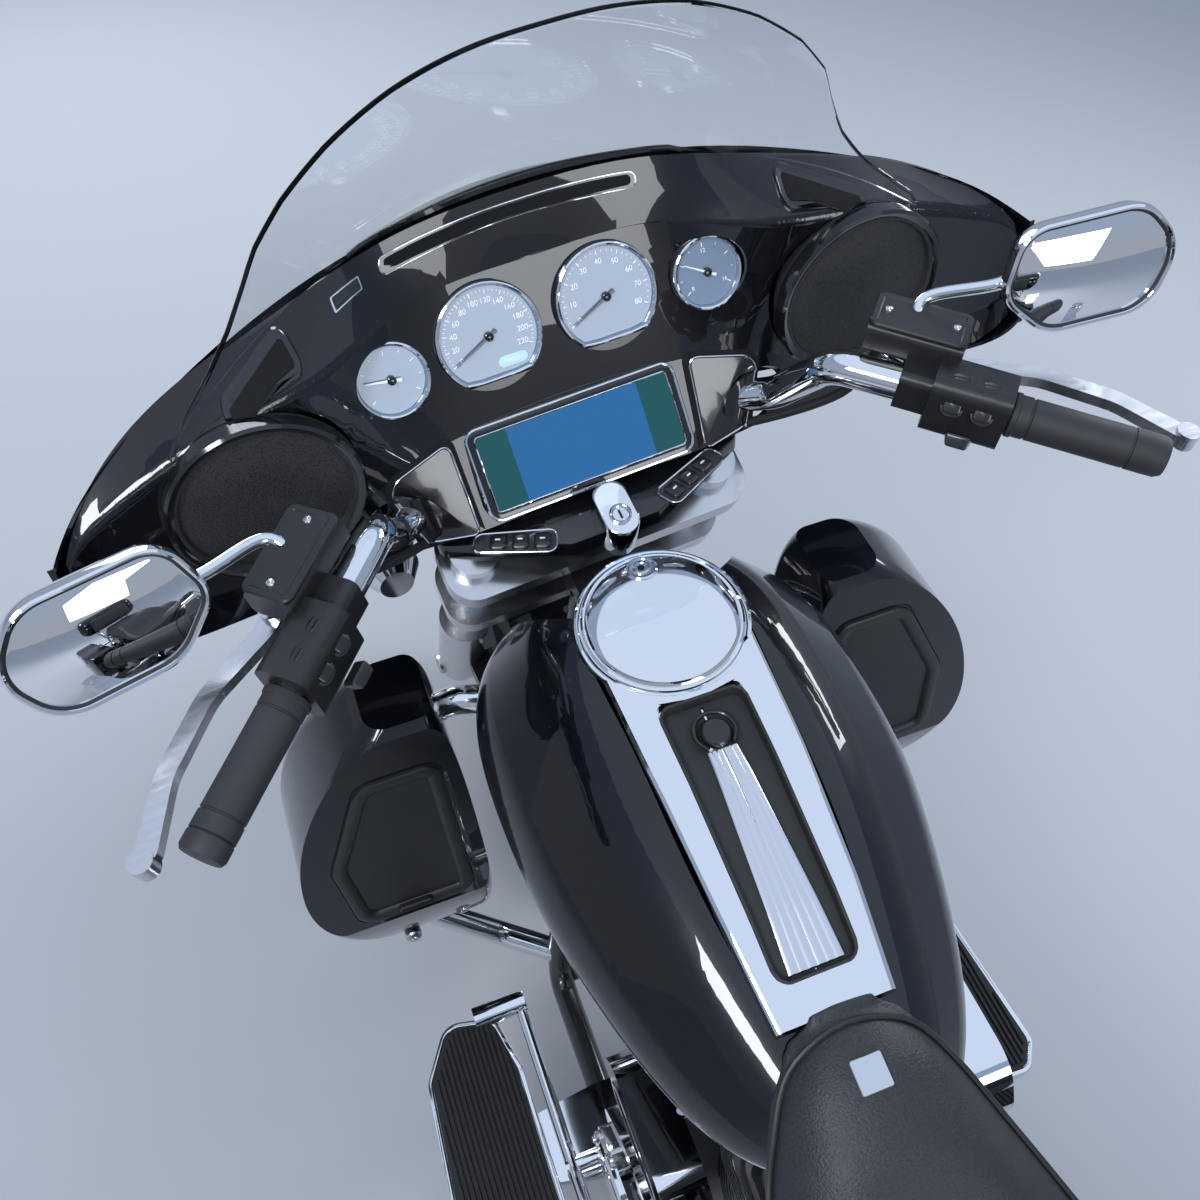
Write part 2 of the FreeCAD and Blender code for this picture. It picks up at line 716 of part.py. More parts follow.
def screen_body(clear):
    """Wide screen unit with rounded corners, square to its own tilt."""
    out = V(-math.cos(math.radians(SCREEN_TILT)), 0, math.sin(math.radians(SCREEN_TILT)))
    up = V(math.sin(math.radians(SCREEN_TILT)), 0, math.cos(math.radians(SCREEN_TILT)))
    half_w = 106 + clear
    half_h = 45 + clear
    plane = tilted_plane(SCREEN_MID - out * 24, V(0, 1, 0), up)
    outline = [(-half_w, -half_h), (half_w, -half_h), (half_w, half_h), (-half_w, half_h)]
    return slab(outline, 16, plane, out * 36)


@once
def screen_unit():
    return [screen_body(0)]


@once
def speakers():
    """Round grilles with a ring, set in the dash wings."""
    x, y, z = SPEAKER_MID
    profile = [(0, -24), (SPEAKER_R - 10, -24), (SPEAKER_R, -6), (SPEAKER_R, 8), (SPEAKER_R - 4, 10),
               (SPEAKER_R - 10, 8), (SPEAKER_R - 12, 4), (0, 6)]
    left = turned(profile, V(x, y, z), V(-1, 0, 0))
    return both(largest(left.cut(inner_fairing())))


@once
def ignition_switch():
    """Switch cap under the screen with its knob, on the upper clamp."""
    outline = [(1240, -44), (1240, 44), (1296, 158), (1318, 158), (1318, -158), (1296, -158)]
    cap = slab(outline, [14, 14, 12, 8, 8, 12], top_plane(914), V(0, 0, 16))
    knob = turned([(0, 0), (20, 0), (22, 10), (22, 30), (16, 38), (0, 38)], V(1262, 0, 930), V(-0.2, 0, 1))
    foot = box((1300, 1318), (-40, 40), (905, 926))
    whole = fuse([cap, knob, foot])
    blockers = fork() + handlebar() + inner_fairing() + screen_unit()
    return [largest(whole.cut(blockers))]


# Windshield: outline seen from the front, y and z, for the left half from the top
SHIELD_BASE = V(1452, 0, 1160)
SHIELD_TOP = V(1300, 0, 1378)
SHIELD_CURVE_R = 500
SHIELD_THICK = 4.5
SHIELD_SEAT_GAP = 0.3
SHIELD_OUTLINE = [(0, 1384), (110, 1372), (215, 1322), (262, 1240), (345, 1140), (318, 1098), (0, 1040)]


@once
def windshield():
    """Clear sheet rolled round a leaning axis, rounded at its free edges."""
    axis = unit(SHIELD_TOP - SHIELD_BASE)
    inward = V(-axis.z, 0, axis.x)
    centre = SHIELD_BASE + inward * SHIELD_CURVE_R - axis * 300
    sheet = Part.makeCylinder(SHIELD_CURVE_R, 800, centre, axis)
    sheet = sheet.cut(Part.makeCylinder(SHIELD_CURVE_R - SHIELD_THICK, 800, centre, axis))
    left = SHIELD_OUTLINE[1:-1]
    right = [(-y, z) for y, z in reversed(left)]
    points = [SHIELD_OUTLINE[0]] + left + [SHIELD_OUTLINE[-1]] + right
    radii = [300, 120, 50, 60, 24, 24, 0, 24, 24, 60, 50, 120]
    mask = slab(points, radii, front_plane(1200), V(360, 0, 0))
    return [largest(sheet.common(mask).cut([outer_fairing_hull(), inner_fairing()[0]]))]


@once
def outer_fairing_hull():
    """Outer fairing filled, with room behind its rear edge, for trimming what seats on it."""
    sections = []
    for y, *corners in mirrored(OUTER_STATIONS):
        low, rear_top = corners[0], corners[-1]
        back = rear_top[0] - SHIELD_SEAT_GAP
        behind = [(back, rear_top[1] - SHIELD_SEAT_GAP), (back, rear_top[1] - 2 * WALL),
                  (low[0] - SHIELD_SEAT_GAP, low[1] + 2 * WALL)]
        radii = fairing_radii(y, OUTER_RADII + [0, 0, 0])
        sections.append(rounded(corners + behind, radii, side_plane(y)))
    return loft(sections)


PASSING_Y = 196
PASSING_Z = 822


@once
def front_lamps():
    """Headlamp in the fairing's opening, two passing lamps and signals on a bar."""
    head = turned([(0, -70), (60, -70), (HEADLAMP_R, -20), (HEADLAMP_R, 16), (HEADLAMP_R - 8, 24), (0, 34)],
                  V(1624, 0, HEADLAMP_Z), V(1, 0, 0))
    bar_x = 1462
    bar = rod(V(bar_x, -PASSING_Y, 806), V(bar_x, PASSING_Y, 806), 11)
    lamps = [bar]
    for side in (1, -1):
        y = side * PASSING_Y
        lamps.append(turned([(0, -52), (34, -52), (54, -10), (56, 20), (50, 28), (0, 34)],
                            V(1478, y, PASSING_Z), V(1, 0, 0)))
        lamps.append(turned([(0, -30), (20, -30), (34, -4), (34, 16), (0, 24)],
                            V(1476, y, PASSING_Z - 94), V(1, 0, 0)))
        lamps.append(rod(V(1462, y, PASSING_Z - 94), V(1462, y, PASSING_Z), 8))
        lamps.append(rod(V(bar_x, side * 60, 806), V(1392, side * 60, 785), 10))
    group = fuse(lamps).cut(fork()[0])
    return [head, largest(group)]


# Frame

DOWNTUBE_ROUTE = [V(1280, 18, 800), V(1262, 44, 700), V(1205, 104, 330), V(1150, RAIL_Y, RAIL_Z), V(606, RAIL_Y, RAIL_Z),
                  V(530, 86, 200), V(492, 86, 330), V(470, 86, 640), V(400, 112, 694)]
# Backbone seen from the side, x and z, top edge first
SPINE_LINE = [(1390, 804), (1376, 862), (1240, 828), (940, 786), (560, 752), (560, 712), (800, 716), (1200, 766)]
SPINE_HALF = 32
SEAT_RAIL_ROUTE = [V(700, 26, 732), V(560, 118, 700), V(-200, 124, 706)]


@once
def frame():
    """Head tube, box backbone, cradle tubes, seat rails and cross tubes."""
    head = rod(steer_point(HEAD_Z[0]), steer_point(HEAD_Z[1]), HEAD_R)
    spine = slab(SPINE_LINE, [6, 6, 60, 60, 10, 10, 60, 60], side_plane(-SPINE_HALF), V(0, 2 * SPINE_HALF, 0))
    pieces = [head, spine]
    for side in (1, -1):
        flip = lambda p: V(p.x, side * p.y, p.z)
        pieces.append(tube([flip(p) for p in DOWNTUBE_ROUTE], TUBE_R, 40))
        pieces.append(tube([flip(p) for p in SEAT_RAIL_ROUTE], 12, 60))
    cross = [(V(1150, 0, RAIL_Z), RAIL_Y - 14), (V(508, 0, 270), 80), (V(472, 0, 640), 80)]
    for point, half in cross:
        pieces.append(rod(point + V(0, -half, 0), point + V(0, half, 0), 13))
    pieces.append(rod(PIVOT + V(0, -ARM_Y[0], 0), PIVOT + V(0, ARM_Y[0], 0), 20))
    for side in (1, -1):
        lug = slab([(488, 320), (540, 330), (548, 372), (500, 392)], 12, side_plane(side * 92), V(0, side * 48, 0))
        pieces.append(lug)
    pieces.append(stand_bracket())
    bore = rod(steer_point(HEAD_Z[0] - 5), steer_point(HEAD_Z[1] + 5), STEM_R + BEARING_GAP)
    return [fuse(pieces).cut(bore)]


# Engine

def cylinder_axis(side):
    """Direction of a cylinder from the crank; side 1 leans forward."""
    turn = math.radians(V_HALF_ANGLE)
    return V(side * math.sin(turn), 0, math.cos(turn))


def v_trim(side):
    """Half space on a cylinder's own side of the V."""
    gap = 1.5
    limits = (CRANK.x + gap, CRANK.x + 600) if side > 0 else (CRANK.x - 600, CRANK.x - gap)
    return box(limits, (-300, 300), (0, 1000))


@once
def cylinders():
    """Finned barrels, flat-sided where they face each other across the V."""
    barrels = []
    for side in (1, -1):
        axis = cylinder_axis(side)
        start, end = BARREL
        pitch = (end - start) / FINS
        fin = pitch * 0.38
        profile = [(0, start), (FIN_R - 6, start)]
        for i in range(FINS):
            low = start + i * pitch
            profile += [(FIN_R, low), (FIN_R, low + fin), (BARREL_R, low + fin), (BARREL_R, low + pitch)]
        profile += [(0, end)]
        profile[1] = (FIN_R, start)
        del profile[2]
        barrels.append(largest(turned(profile, CRANK, axis).common(v_trim(side))))
    return barrels


@once
def cylinder_heads():
    """Square finned heads with their ports."""
    heads = []
    for side in (1, -1):
        axis = cylinder_axis(side)
        across = V(axis.z, 0, -axis.x)
        fins = 5
        start = BARREL[1]
        pitch = (HEAD_END - start) / fins
        layers = []
        for i in range(fins):
            for low, high, grow in ((0, 0.42, 0), (0.42, 1, -12)):
                half_x = 84 + grow
                half_y = 82 + grow
                plane = tilted_plane(CRANK + axis * (start + (i + low) * pitch), across, V(0, 1, 0))
                outline = [(-half_x, -half_y), (half_x, -half_y), (half_x, half_y), (-half_x, half_y)]
                layers.append(slab(outline, 26 + grow, plane, axis * ((high - low) * pitch)))
        heads.append(largest(fuse(layers).common(v_trim(side))))
    return heads


@once
def rocker_covers():
    """Polished two-step covers on the heads."""
    covers = []
    for side in (1, -1):
        axis = cylinder_axis(side)
        across = V(axis.z, 0, -axis.x)
        steps = [(HEAD_END, 30, 74, 76), (HEAD_END + 30, ROCKER_END - HEAD_END - 30, 62, 66)]
        layers = []
        for low, height, half_x, half_y in steps:
            plane = tilted_plane(CRANK + axis * low, across, V(0, 1, 0))
            outline = [(-half_x, -half_y), (half_x, -half_y), (half_x, half_y), (-half_x, half_y)]
            layers.append(slab(outline, 24, plane, axis * height))
        covers.append(fuse(layers))
    return covers


CASE_HALF = 92
FRONT_PULLEY = V(596, 0, 350)
FRONT_PULLEY_R = 52.5


@once
def crankcase():
    """Crank and gearbox case with the barrel decks, on the cradle's cross tubes."""
    outline = [(985, 300), (965, 250), (900, 205), (560, 205), (545, 250), (545, 430), (600, 480),
               (745, 470), (900, 470), (965, 430)]
    case = slab(outline, [50, 40, 40, 12, 12, 20, 30, 20, 20, 40], side_plane(-CASE_HALF), V(0, 2 * CASE_HALF, 0))
    decks = []
    for side in (1, -1):
        axis = cylinder_axis(side)
        decks.append(rod(CRANK + axis * 60, CRANK + axis * BARREL[0], FIN_R - 6))
    mount = box((600, 960), (-60, 60), (190, 215))
    body = fuse([case, mount] + decks)
    legs = [box((640, 680), (-RAIL_Y, RAIL_Y), (176, 208)), box((900, 940), (-RAIL_Y, RAIL_Y), (176, 208))]
    pulley = rod(FRONT_PULLEY + V(0, CASE_HALF, 0), FRONT_PULLEY + V(0, PULLEY_Y[1], 0), FRONT_PULLEY_R)
    body = fuse([body, pulley] + legs)
    return [largest(body.cut(frame() + cylinders()))]


@once
def engine_covers():
    """Primary cover on the left, cam cover and pushrod tubes on the right."""
    primary_line = [(930, 330), (900, 250), (830, 225), (620, 235), (575, 290), (575, 390), (640, 440), (850, 440)]
    primary = slab(primary_line, [60, 50, 40, 40, 40, 40, 40, 70], side_plane(CASE_HALF), V(0, 60, 0))
    rim_line = [(915, 330), (888, 262), (825, 240), (628, 248), (590, 294), (590, 384), (646, 426), (842, 426)]
    primary_face = slab(rim_line, [54, 44, 36, 34, 34, 34, 34, 62], side_plane(CASE_HALF + 60), V(0, 14, 0))
    cam_line = [(930, 350), (880, 250), (760, 235), (720, 300), (740, 420), (900, 430)]
    cam = slab(cam_line, [60, 50, 40, 40, 40, 50], side_plane(-CASE_HALF), V(0, -38, 0))
    timer = rod(V(855, -CASE_HALF - 38, 335), V(855, -CASE_HALF - 50, 335), 48)
    tubes = []
    for side in (1, -1):
        for shift in (-22, 22):
            low = V(CRANK.x + side * 46 + shift * 0.7, -CASE_HALF - 22, 415)
            high = CRANK + cylinder_axis(side) * 344 + V(shift, -CASE_HALF + 2, 0)
            tubes.append(rod(low, high, 10))
    right = fuse([cam, timer] + tubes)
    right = largest(right.cut(cylinders() + cylinder_heads() + rocker_covers() + crankcase()))
    belt_room = box((540, 664), (CASE_HALF - 1, PULLEY_Y[1] + 5), (285, 418))
    left = fuse([primary, primary_face]).cut([belt_room, crankcase()[0]])
    return [largest(left), right]


@once
def horn_cover():
    """Chrome horn cover hung in the V on the left."""
    shell = slab([(-70, -34), (70, -34), (86, 0), (60, 44), (-60, 44), (-86, 0)], [20, 20, 24, 30, 30, 24],
                 side_plane(0), V(0, 46, 0))
    shell.translate(V(CRANK.x, 102, 560))
    stay = rod(V(CRANK.x, 30, 640), V(CRANK.x, 120, 588), 7)
    hanger = rod(V(CRANK.x, 30, 640), V(CRANK.x, 30, 728), 7)
    whole = fuse([shell, stay, hanger])
    blockers = frame() + cylinder_heads() + cylinders()
    return [largest(whole.cut(blockers))]


@once
def air_cleaner():
    """Round-ended air cleaner on the right of the V."""
    outline = [(-96, -52), (70, -52), (104, 0), (70, 56), (-96, 56), (-120, 0)]
    cover = slab(outline, [40, 40, 40, 40, 40, 30], side_plane(0), V(0, -62, 0))
    cover.translate(V(CRANK.x + 14, -CASE_HALF - 34, 585))
    throat = rod(V(CRANK.x, -20, 600), V(CRANK.x, -CASE_HALF - 40, 600), 26)
    whole = fuse([cover, throat])
    blockers = cylinders() + cylinder_heads() + rocker_covers() + engine_covers()
    return [largest(whole.cut(blockers))]


MUFFLER_Y = 262
MUFFLER_Z = 238
MUFFLER_R = 46


@once
def exhaust():
    """Two headers into a collector, a crossover and a muffler at each side."""
    front = tube([V(975, -55, 560), V(1046, -70, 545), V(1056, -150, 420), V(1006, -188, 248),
                  V(760, -206, MUFFLER_Z), V(420, -MUFFLER_Y, MUFFLER_Z)], 22, 40)
    rear = tube([V(690, -60, 560), V(655, -130, 545), V(640, -176, 420), V(622, -214, 250)], 22, 34)
    right_can = turned([(0, 0), (26, 0), (MUFFLER_R, 90), (MUFFLER_R, 780), (38, 900), (0, 900)],
                       V(450, -MUFFLER_Y, MUFFLER_Z), V(-1, 0, 0))
    left_can = flipped(right_can)
    crossover = tube([V(500, -244, MUFFLER_Z), V(416, -150, 156), V(416, 150, 156), V(416, MUFFLER_Y, MUFFLER_Z),
                      V(330, MUFFLER_Y, MUFFLER_Z)], 20, 36)
    whole = fuse([front, rear, right_can, left_can, crossover])
    blockers = cylinders() + cylinder_heads() + crankcase() + frame() + engine_covers()
    return [largest(whole.cut(blockers))]


# Tank, console and fuel door

# Station x: half width and height of the bottom edge, the waist and the top edge
TANK_STATIONS = [
    (1222, (96, 778), (128, 838), (66, 900)),
    (1168, (126, 752), (188, 825), (88, 930)),
    (1080, (132, 742), (211, 820), (96, 936)),
    (960, (130, 740), (205, 816), (92, 924)),
    (850, (118, 742), (172, 806), (80, 898)),
    (760, (96, 748), (130, 800), (64, 868)),
    (706, (62, 764), (84, 806), (46, 850)),
]


def tank_section(x, low, waist, top):
    points = [(-low[0], low[1]), (low[0], low[1]), (waist[0], waist[1]), (top[0], top[1]),
              (-top[0], top[1]), (-waist[0], waist[1])]
    low_r = low[0] * 0.2
    waist_r = waist[0] * 0.34
    top_r = top[0] * 0.9
    return rounded(points, [low_r, low_r, waist_r, top_r, top_r, waist_r], front_plane(x))


@once
def tank_body():
    return loft([tank_section(x, *rows) for x, *rows in TANK_STATIONS])


FORK_SWEEP_R = 182
DOOR_R = 72
DOOR_MID = V(1110, 0, 944)
DOOR_TILT = 5
DOOR_UP = V(math.sin(math.radians(DOOR_TILT)) * -1, 0, math.cos(math.radians(DOOR_TILT)))


def tank_cuts():
    """Room for the turning fork and for the frame's backbone."""
    fork_room = rod(steer_point(600), steer_point(1100), FORK_SWEEP_R)
    roof = [(x, z + 6) for x, z in SPINE_LINE[1:5]]
    outline = [(1376, 600)] + roof + [(560, 600)]
    half = SPINE_HALF + 5
    spine_room = slab(outline, 0, side_plane(-half), V(0, 2 * half, 0))
    return [fork_room, spine_room]


CONSOLE_DEEP = 34
WELL_R = 46

# Console: station x, half width, top height
CONSOLE_STATIONS = [(1186, 40, 940), (1150, 66, 946), (1080, 72, 944), (960, 66, 932), (850, 58, 908), (772, 50, 882)]


@once
def console_block():
    """Strip down the tank's top with the ring round its fuel door, filled."""
    sections = []
    for x, half, top in CONSOLE_STATIONS:
        points = [(-half, top - CONSOLE_DEEP), (half, top - CONSOLE_DEEP), (half, top), (-half, top)]
        sections.append(rounded(points, [4, 4, 10, 10], front_plane(x)))
    ring = rod(DOOR_MID - DOOR_UP * CONSOLE_DEEP, DOOR_MID + DOOR_UP * 2, DOOR_R + 5)
    return fuse([loft(sections), ring])


def door_room():
    """Space of the fuel door in its ring and of the filler's well below it."""
    seat_room = rod(DOOR_MID - DOOR_UP * 6, DOOR_MID + DOOR_UP * 60, DOOR_R + 0.6)
    well = rod(DOOR_MID - DOOR_UP * 60, DOOR_MID + DOOR_UP * 10, WELL_R)
    return [seat_room, well]


@once
def fuel_tank():
    """Wide tank over the backbone, with the filler's well and cap under the door."""
    tank = largest(tank_body().cut(tank_cuts() + [console_block()] + door_room()))
    neck = rod(DOOR_MID - DOOR_UP * 64, DOOR_MID - DOOR_UP * 36, 20)
    cap = rod(DOOR_MID - DOOR_UP * 37, DOOR_MID - DOOR_UP * 20, 30)
    return [fuse([tank, neck, cap])]


@once
def tank_console():
    """Bright dash strip sunk into the tank's top, holding the fuel door."""
    return [largest(console_block().cut(door_room() + tank_cuts()))]


@once
def fuel_door():
    """Domed round door, hinged at its rear edge."""
    edge = DOOR_R
    profile = [(0, -5.5), (edge - 3, -5.5), (edge, -3), (edge, 4), (edge - 6, 9), (edge * 0.6, 15), (0, 18)]
    return [turned(profile, DOOR_MID, DOOR_UP)]


# Seat

# Station x: half width low, height low, half width mid, height mid, half width top, height top
SEAT_STATIONS = [
    (762, (34, 800), (50, 850), (30, 888)),
    (690, (70, 740), (104, 800), (70, 852)),
    (560, (120, 716), (176, 738), (140, 772)),
    (420, (136, 716), (192, 738), (160, 776)),
    (330, (134, 716), (178, 766), (140, 838)),
    (180, (130, 716), (168, 780), (130, 862)),
    (-40, (120, 716), (150, 776), (116, 852)),
    (-96, (108, 720), (128, 772), (96, 830)),
]


@once
def seat():
    """Two-up seat with a deep rider's bucket, closed and soft."""
    sections = []
    for x, low, mid, top in SEAT_STATIONS:
        points = [(-low[0], low[1]), (low[0], low[1]), (mid[0], mid[1]), (top[0], top[1]),
                  (-top[0], top[1]), (-mid[0], mid[1])]
        sections.append(rounded(points, [8, 8, 16, 20, 20, 16], front_plane(x)))
    body = loft(sections)
    blockers = [tank_body(), tank_console()[0]] + frame()
    return [largest(body.cut(blockers))]


# Rear end

@once
def rear_fender():
    shell = fender_shell(REAR_AXLE, FENDER_R, FENDER_HALF, 96, 4, 78, 168)
    return [largest(shell.cut(frame()))]


@once
def swingarm():
    """Two arms from the pivot to the axle, with the cross tube and axle."""
    arms = []
    for side in (1, -1):
        line = [(556, 340), (556, 372), (505, 388), (30, 356), (-48, 352), (-48, 292), (30, 288), (505, 322)]
        inner = side * ARM_Y[0]
        arms.append(slab(line, [10, 16, 20, 30, 20, 20, 30, 20], side_plane(inner), V(0, side * 20, 0)))
        bolt = side * (ARM_Y[1] + 12)
        arms.append(rod(REAR_AXLE + V(0, inner, 0), REAR_AXLE + V(0, bolt, 0), 20))
        pin = V(96, 0, 322)
        arms.append(rod(pin + V(0, side * (ARM_Y[1] - 4), 0), pin + V(0, side * 202, 0), 9))
    arms.append(rod(REAR_AXLE + V(0, -ARM_Y[1], 0), REAR_AXLE + V(0, ARM_Y[1], 0), AXLE_R))
    return [fuse(arms)]


SHOCK_Y = 188
SHOCK_LOW = V(96, SHOCK_Y, 322)
SHOCK_TOP = V(214, SHOCK_Y, 640)


@once
def shocks():
    """Air shocks from the arms to the seat rails."""
    line = unit(SHOCK_TOP - SHOCK_LOW)
    body = fuse([rod(SHOCK_LOW + line * 70, SHOCK_TOP - line * 26, 22),
                 rod(SHOCK_LOW, SHOCK_TOP, 9),
                 rod(SHOCK_LOW - V(0, 12, 0), SHOCK_LOW + V(0, 14, 0), 20),
                 rod(SHOCK_TOP - V(0, 14, 0), SHOCK_TOP + V(0, 14, 0), 18)])
    hanger = slab([(190, 620), (238, 620), (238, 700), (190, 700)], 10, side_plane(126), V(0, 14, 0))
    bolt = rod(V(214, 130, 640), V(214, SHOCK_Y + 20, 640), 8)
    whole = fuse([body, hanger, bolt]).cut(swingarm() + frame())
    return both(largest(whole))


BELT_THICK = 4


@once
def drive_belt():
    """Toothed belt loop round both pulleys, on the left."""
    y0, y1 = PULLEY_Y[0] + 2, PULLEY_Y[1] - 2

    def loop(grow):
        big = PULLEY_R + 0.5 + grow
        small = FRONT_PULLEY_R + grow
        span = FRONT_PULLEY - REAR_AXLE
        span.y = 0
        length = span.Length
        tilt = math.atan2(span.z, span.x)
        open_turn = math.acos((big - small) / length)
        point = lambda c, r, a: V(c.x + r * math.cos(a), y0, c.z + r * math.sin(a))
        upper = tilt + open_turn
        lower = tilt - open_turn
        rear_mid = tilt + math.pi
        edges = [Part.Arc(point(REAR_AXLE, big, upper), point(REAR_AXLE, big, rear_mid),
                          point(REAR_AXLE, big, lower)).toShape(),
                 Part.LineSegment(point(REAR_AXLE, big, lower), point(FRONT_PULLEY, small, lower)).toShape(),
                 Part.Arc(point(FRONT_PULLEY, small, lower), point(FRONT_PULLEY, small, tilt),
                          point(FRONT_PULLEY, small, upper)).toShape(),
                 Part.LineSegment(point(FRONT_PULLEY, small, upper), point(REAR_AXLE, big, upper)).toShape()]
        return Part.Face(Part.Wire(edges)).extrude(V(0, y1 - y0, 0))

    return [loop(BELT_THICK).cut(loop(0))]


# Saddlebags: station x, inner wall y, outer wall y, floor z
BAG_STATIONS = [(262, 372, 352), (200, 396, 318), (60, 410, 302), (-180, 410, 300), (-300, 398, 316), (-338, 372, 352)]


def bag_sections(inset, low, high):
    """Closed sections of a bag between two heights, moved in from its outer skin."""
    wires = []
    for x, out_y, floor in BAG_STATIONS:
        base = floor + inset if low is None else low
        shift = inset if x < 0 else -inset
        points = [(BAG_IN_Y + inset, base), (out_y - inset, base), (out_y - inset, high), (BAG_IN_Y + inset, high)]
        corner = 26 if low is None else 3
        wires.append(rounded(points, [14, corner, 3, 3], front_plane(x + shift)))
    return wires


@once
def saddlebag():
    """Hollow left bag, open at the top."""
    shell = loft(bag_sections(0, None, BAG_SPLIT_Z))
    hollow = loft(bag_sections(BAG_WALL, None, BAG_SPLIT_Z + 20))
    body = shell.cut(hollow)
    stays = []
    for x in (-140, 130):
        stays.append(box((x - 12, x + 12), (122, BAG_IN_Y), (612, 632)))
        stays.append(box((x - 12, x + 12), (118, 130), (612, 700)))
    bracket = fuse(stays[:2])
    second = fuse(stays[2:])
    whole = fuse([body, bracket, second])
    return whole.cut(frame() + rear_fender() + [shocks()[0]] + [exhaust()[0]])


@once
def bag_lid():
    """Crowned lid of the left bag, hollow below, hinged outboard."""
    wires = []
    hollow = []
    for x, out_y, floor in BAG_STATIONS:
        crown = 62 if -310 < x < 240 else 48
        points = [(BAG_IN_Y, BAG_SPLIT_Z + RUN_GAP), (out_y, BAG_SPLIT_Z + RUN_GAP),
                  (out_y - 6, BAG_SPLIT_Z + crown - 16), (BAG_IN_Y + 14, BAG_SPLIT_Z + crown)]
        wires.append(rounded(points, [3, 3, 18, 14], front_plane(x)))
        shift = BAG_WALL if x < 0 else -BAG_WALL
        inside = [(BAG_IN_Y + BAG_WALL, BAG_SPLIT_Z - 10), (out_y - BAG_WALL, BAG_SPLIT_Z - 10),
                  (out_y - 6 - BAG_WALL, BAG_SPLIT_Z + crown - 20), (BAG_IN_Y + 14 + BAG_WALL, BAG_SPLIT_Z + crown - 5)]
        hollow.append(rounded(inside, [3, 3, 14, 10], front_plane(x + shift)))
    return loft(wires).cut(loft(hollow))


# Trunk, seen from above: x of its rear and front, half widths there
TRUNK_X = (-636, -134)
TRUNK_HALF = (242, 276)
TRUNK_CORNER = 62
TRUNK_FLOOR = 846
RACK_R = 9


def trunk_layers(levels):
    """Rounded outlines of the trunk at heights, each moved in by an inset."""
    wires = []
    for z, inset in levels:
        x0, x1 = TRUNK_X[0] + inset, TRUNK_X[1] - inset
        y0, y1 = TRUNK_HALF[0] - inset, TRUNK_HALF[1] - inset
        wires.append(rounded([(x0, -y0), (x1, -y1), (x1, y1), (x0, y0)], TRUNK_CORNER, top_plane(z)))
    return wires


@once
def trunk_base():
    """Hollow lower half of the trunk on its rack."""
    shell = Part.makeLoft(trunk_layers([(TRUNK_FLOOR, 36), (880, 10), (TRUNK_SPLIT_Z, 0)]), True, False)
    hollow = Part.makeLoft(trunk_layers([(TRUNK_FLOOR + 6, 42), (884, 16), (TRUNK_SPLIT_Z + 10, 5)]), True, False)
    return [shell.cut(hollow)]


@once
def trunk_lid():
    """Domed upper half of the trunk, hollow below."""
    low = TRUNK_SPLIT_Z + RUN_GAP
    shell = Part.makeLoft(trunk_layers([(low, 0), (1076, 12), (1116, 50)]), True, False)
    hollow = Part.makeLoft(trunk_layers([(low - 10, 5), (1070, 18), (1110, 56)]), True, False)
    return [shell.cut(hollow)]


@once
def rear_rails():
    """Rack under the trunk, on stays from the seat rails."""
    y = 150
    z = TRUNK_FLOOR - RACK_R + 0.6
    pieces = []
    for side in (1, -1):
        pieces.append(tube([V(-110, side * 118, 712), V(-150, side * y, z), V(-560, side * y, z)], RACK_R, 30))
        pieces.append(rod(V(-190, side * 121, 700), V(-330, side * y, z - 3), 7.5))
    for x in (-250, -520):
        pieces.append(rod(V(x, -y, z - 0.5), V(x, y, z - 0.5), 8))
    pieces.append(rod(V(-160, -118, 707), V(-160, 118, 707), 10))
    return [largest(fuse(pieces).cut(frame() + trunk_base() + seat()))]


@once
def backrest():
    """Passenger backrest pad on the trunk's front."""
    outline = [(-190, 862), (190, 862), (180, 1066), (-180, 1066)]
    pad = slab(outline, 40, front_plane(TRUNK_X[1] + 8), V(44, 0, 0))
    back = slab([(-140, 880), (140, 880), (140, 975), (-140, 975)], 20, front_plane(TRUNK_X[1] - 20), V(30, 0, 0))
    return [largest(fuse([pad, back]).cut(trunk_base() + seat()))]


@once
def side_covers():
    """Smooth covers below the seat at each side."""
    outline = [(345, 470), (500, 440), (620, 520), (640, 640), (600, 700), (380, 700), (330, 600)]
    cover = slab(outline, [24, 24, 30, 30, 20, 20, 24], side_plane(136), V(0, 22, 0))
    peg = rod(V(470, 118, 600), V(470, 140, 600), 9)
    whole = fuse([cover, peg]).cut(frame() + [shocks()[0], saddlebag()])
    return both(largest(whole))


GUARD_ROUTE = [V(1238, 92, 700), V(1262, 180, 716), V(1262, 345, 660), V(1262, 366, 420), V(1212, 200, 236),
               V(1166, 128, 210)]


GUARD_R = 16


@once
def engine_guard():
    """Bright crash bar hoops from the downtubes, one at each side."""
    hoop = tube(GUARD_ROUTE, GUARD_R, 46)
    return both(largest(hoop.cut(frame())))


# Lower fairing: station z, x rear, x front, y inner, y outer
LOWER_STATIONS = [
    (336, 1216, 1276, 204, 300),
    (470, 1152, 1284, 196, 362),
    (600, 1124, 1284, 194, 388),
    (740, 1136, 1280, 196, 346),
    (820, 1180, 1260, 206, 272),
]
GLOVE_PLANE_X = 1128
GLOVE_TILT = 8


def glove_plane(depth):
    """Plane of the glovebox door, leaned forward at its top; depth is rearward."""
    turn = math.radians(GLOVE_TILT)
    up = V(math.sin(turn), 0, math.cos(turn))
    out = V(-math.cos(turn), 0, math.sin(turn))
    return tilted_plane(V(GLOVE_PLANE_X + 6, 0, 540) + out * depth, V(0, 1, 0), up), out


def glove_outline(inset):
    return [(214 + inset, 6 + inset), (344 - inset, 6 + inset), (352 - inset, 110),
            (300 - inset, 226 - inset), (214 + inset, 226 - inset)]


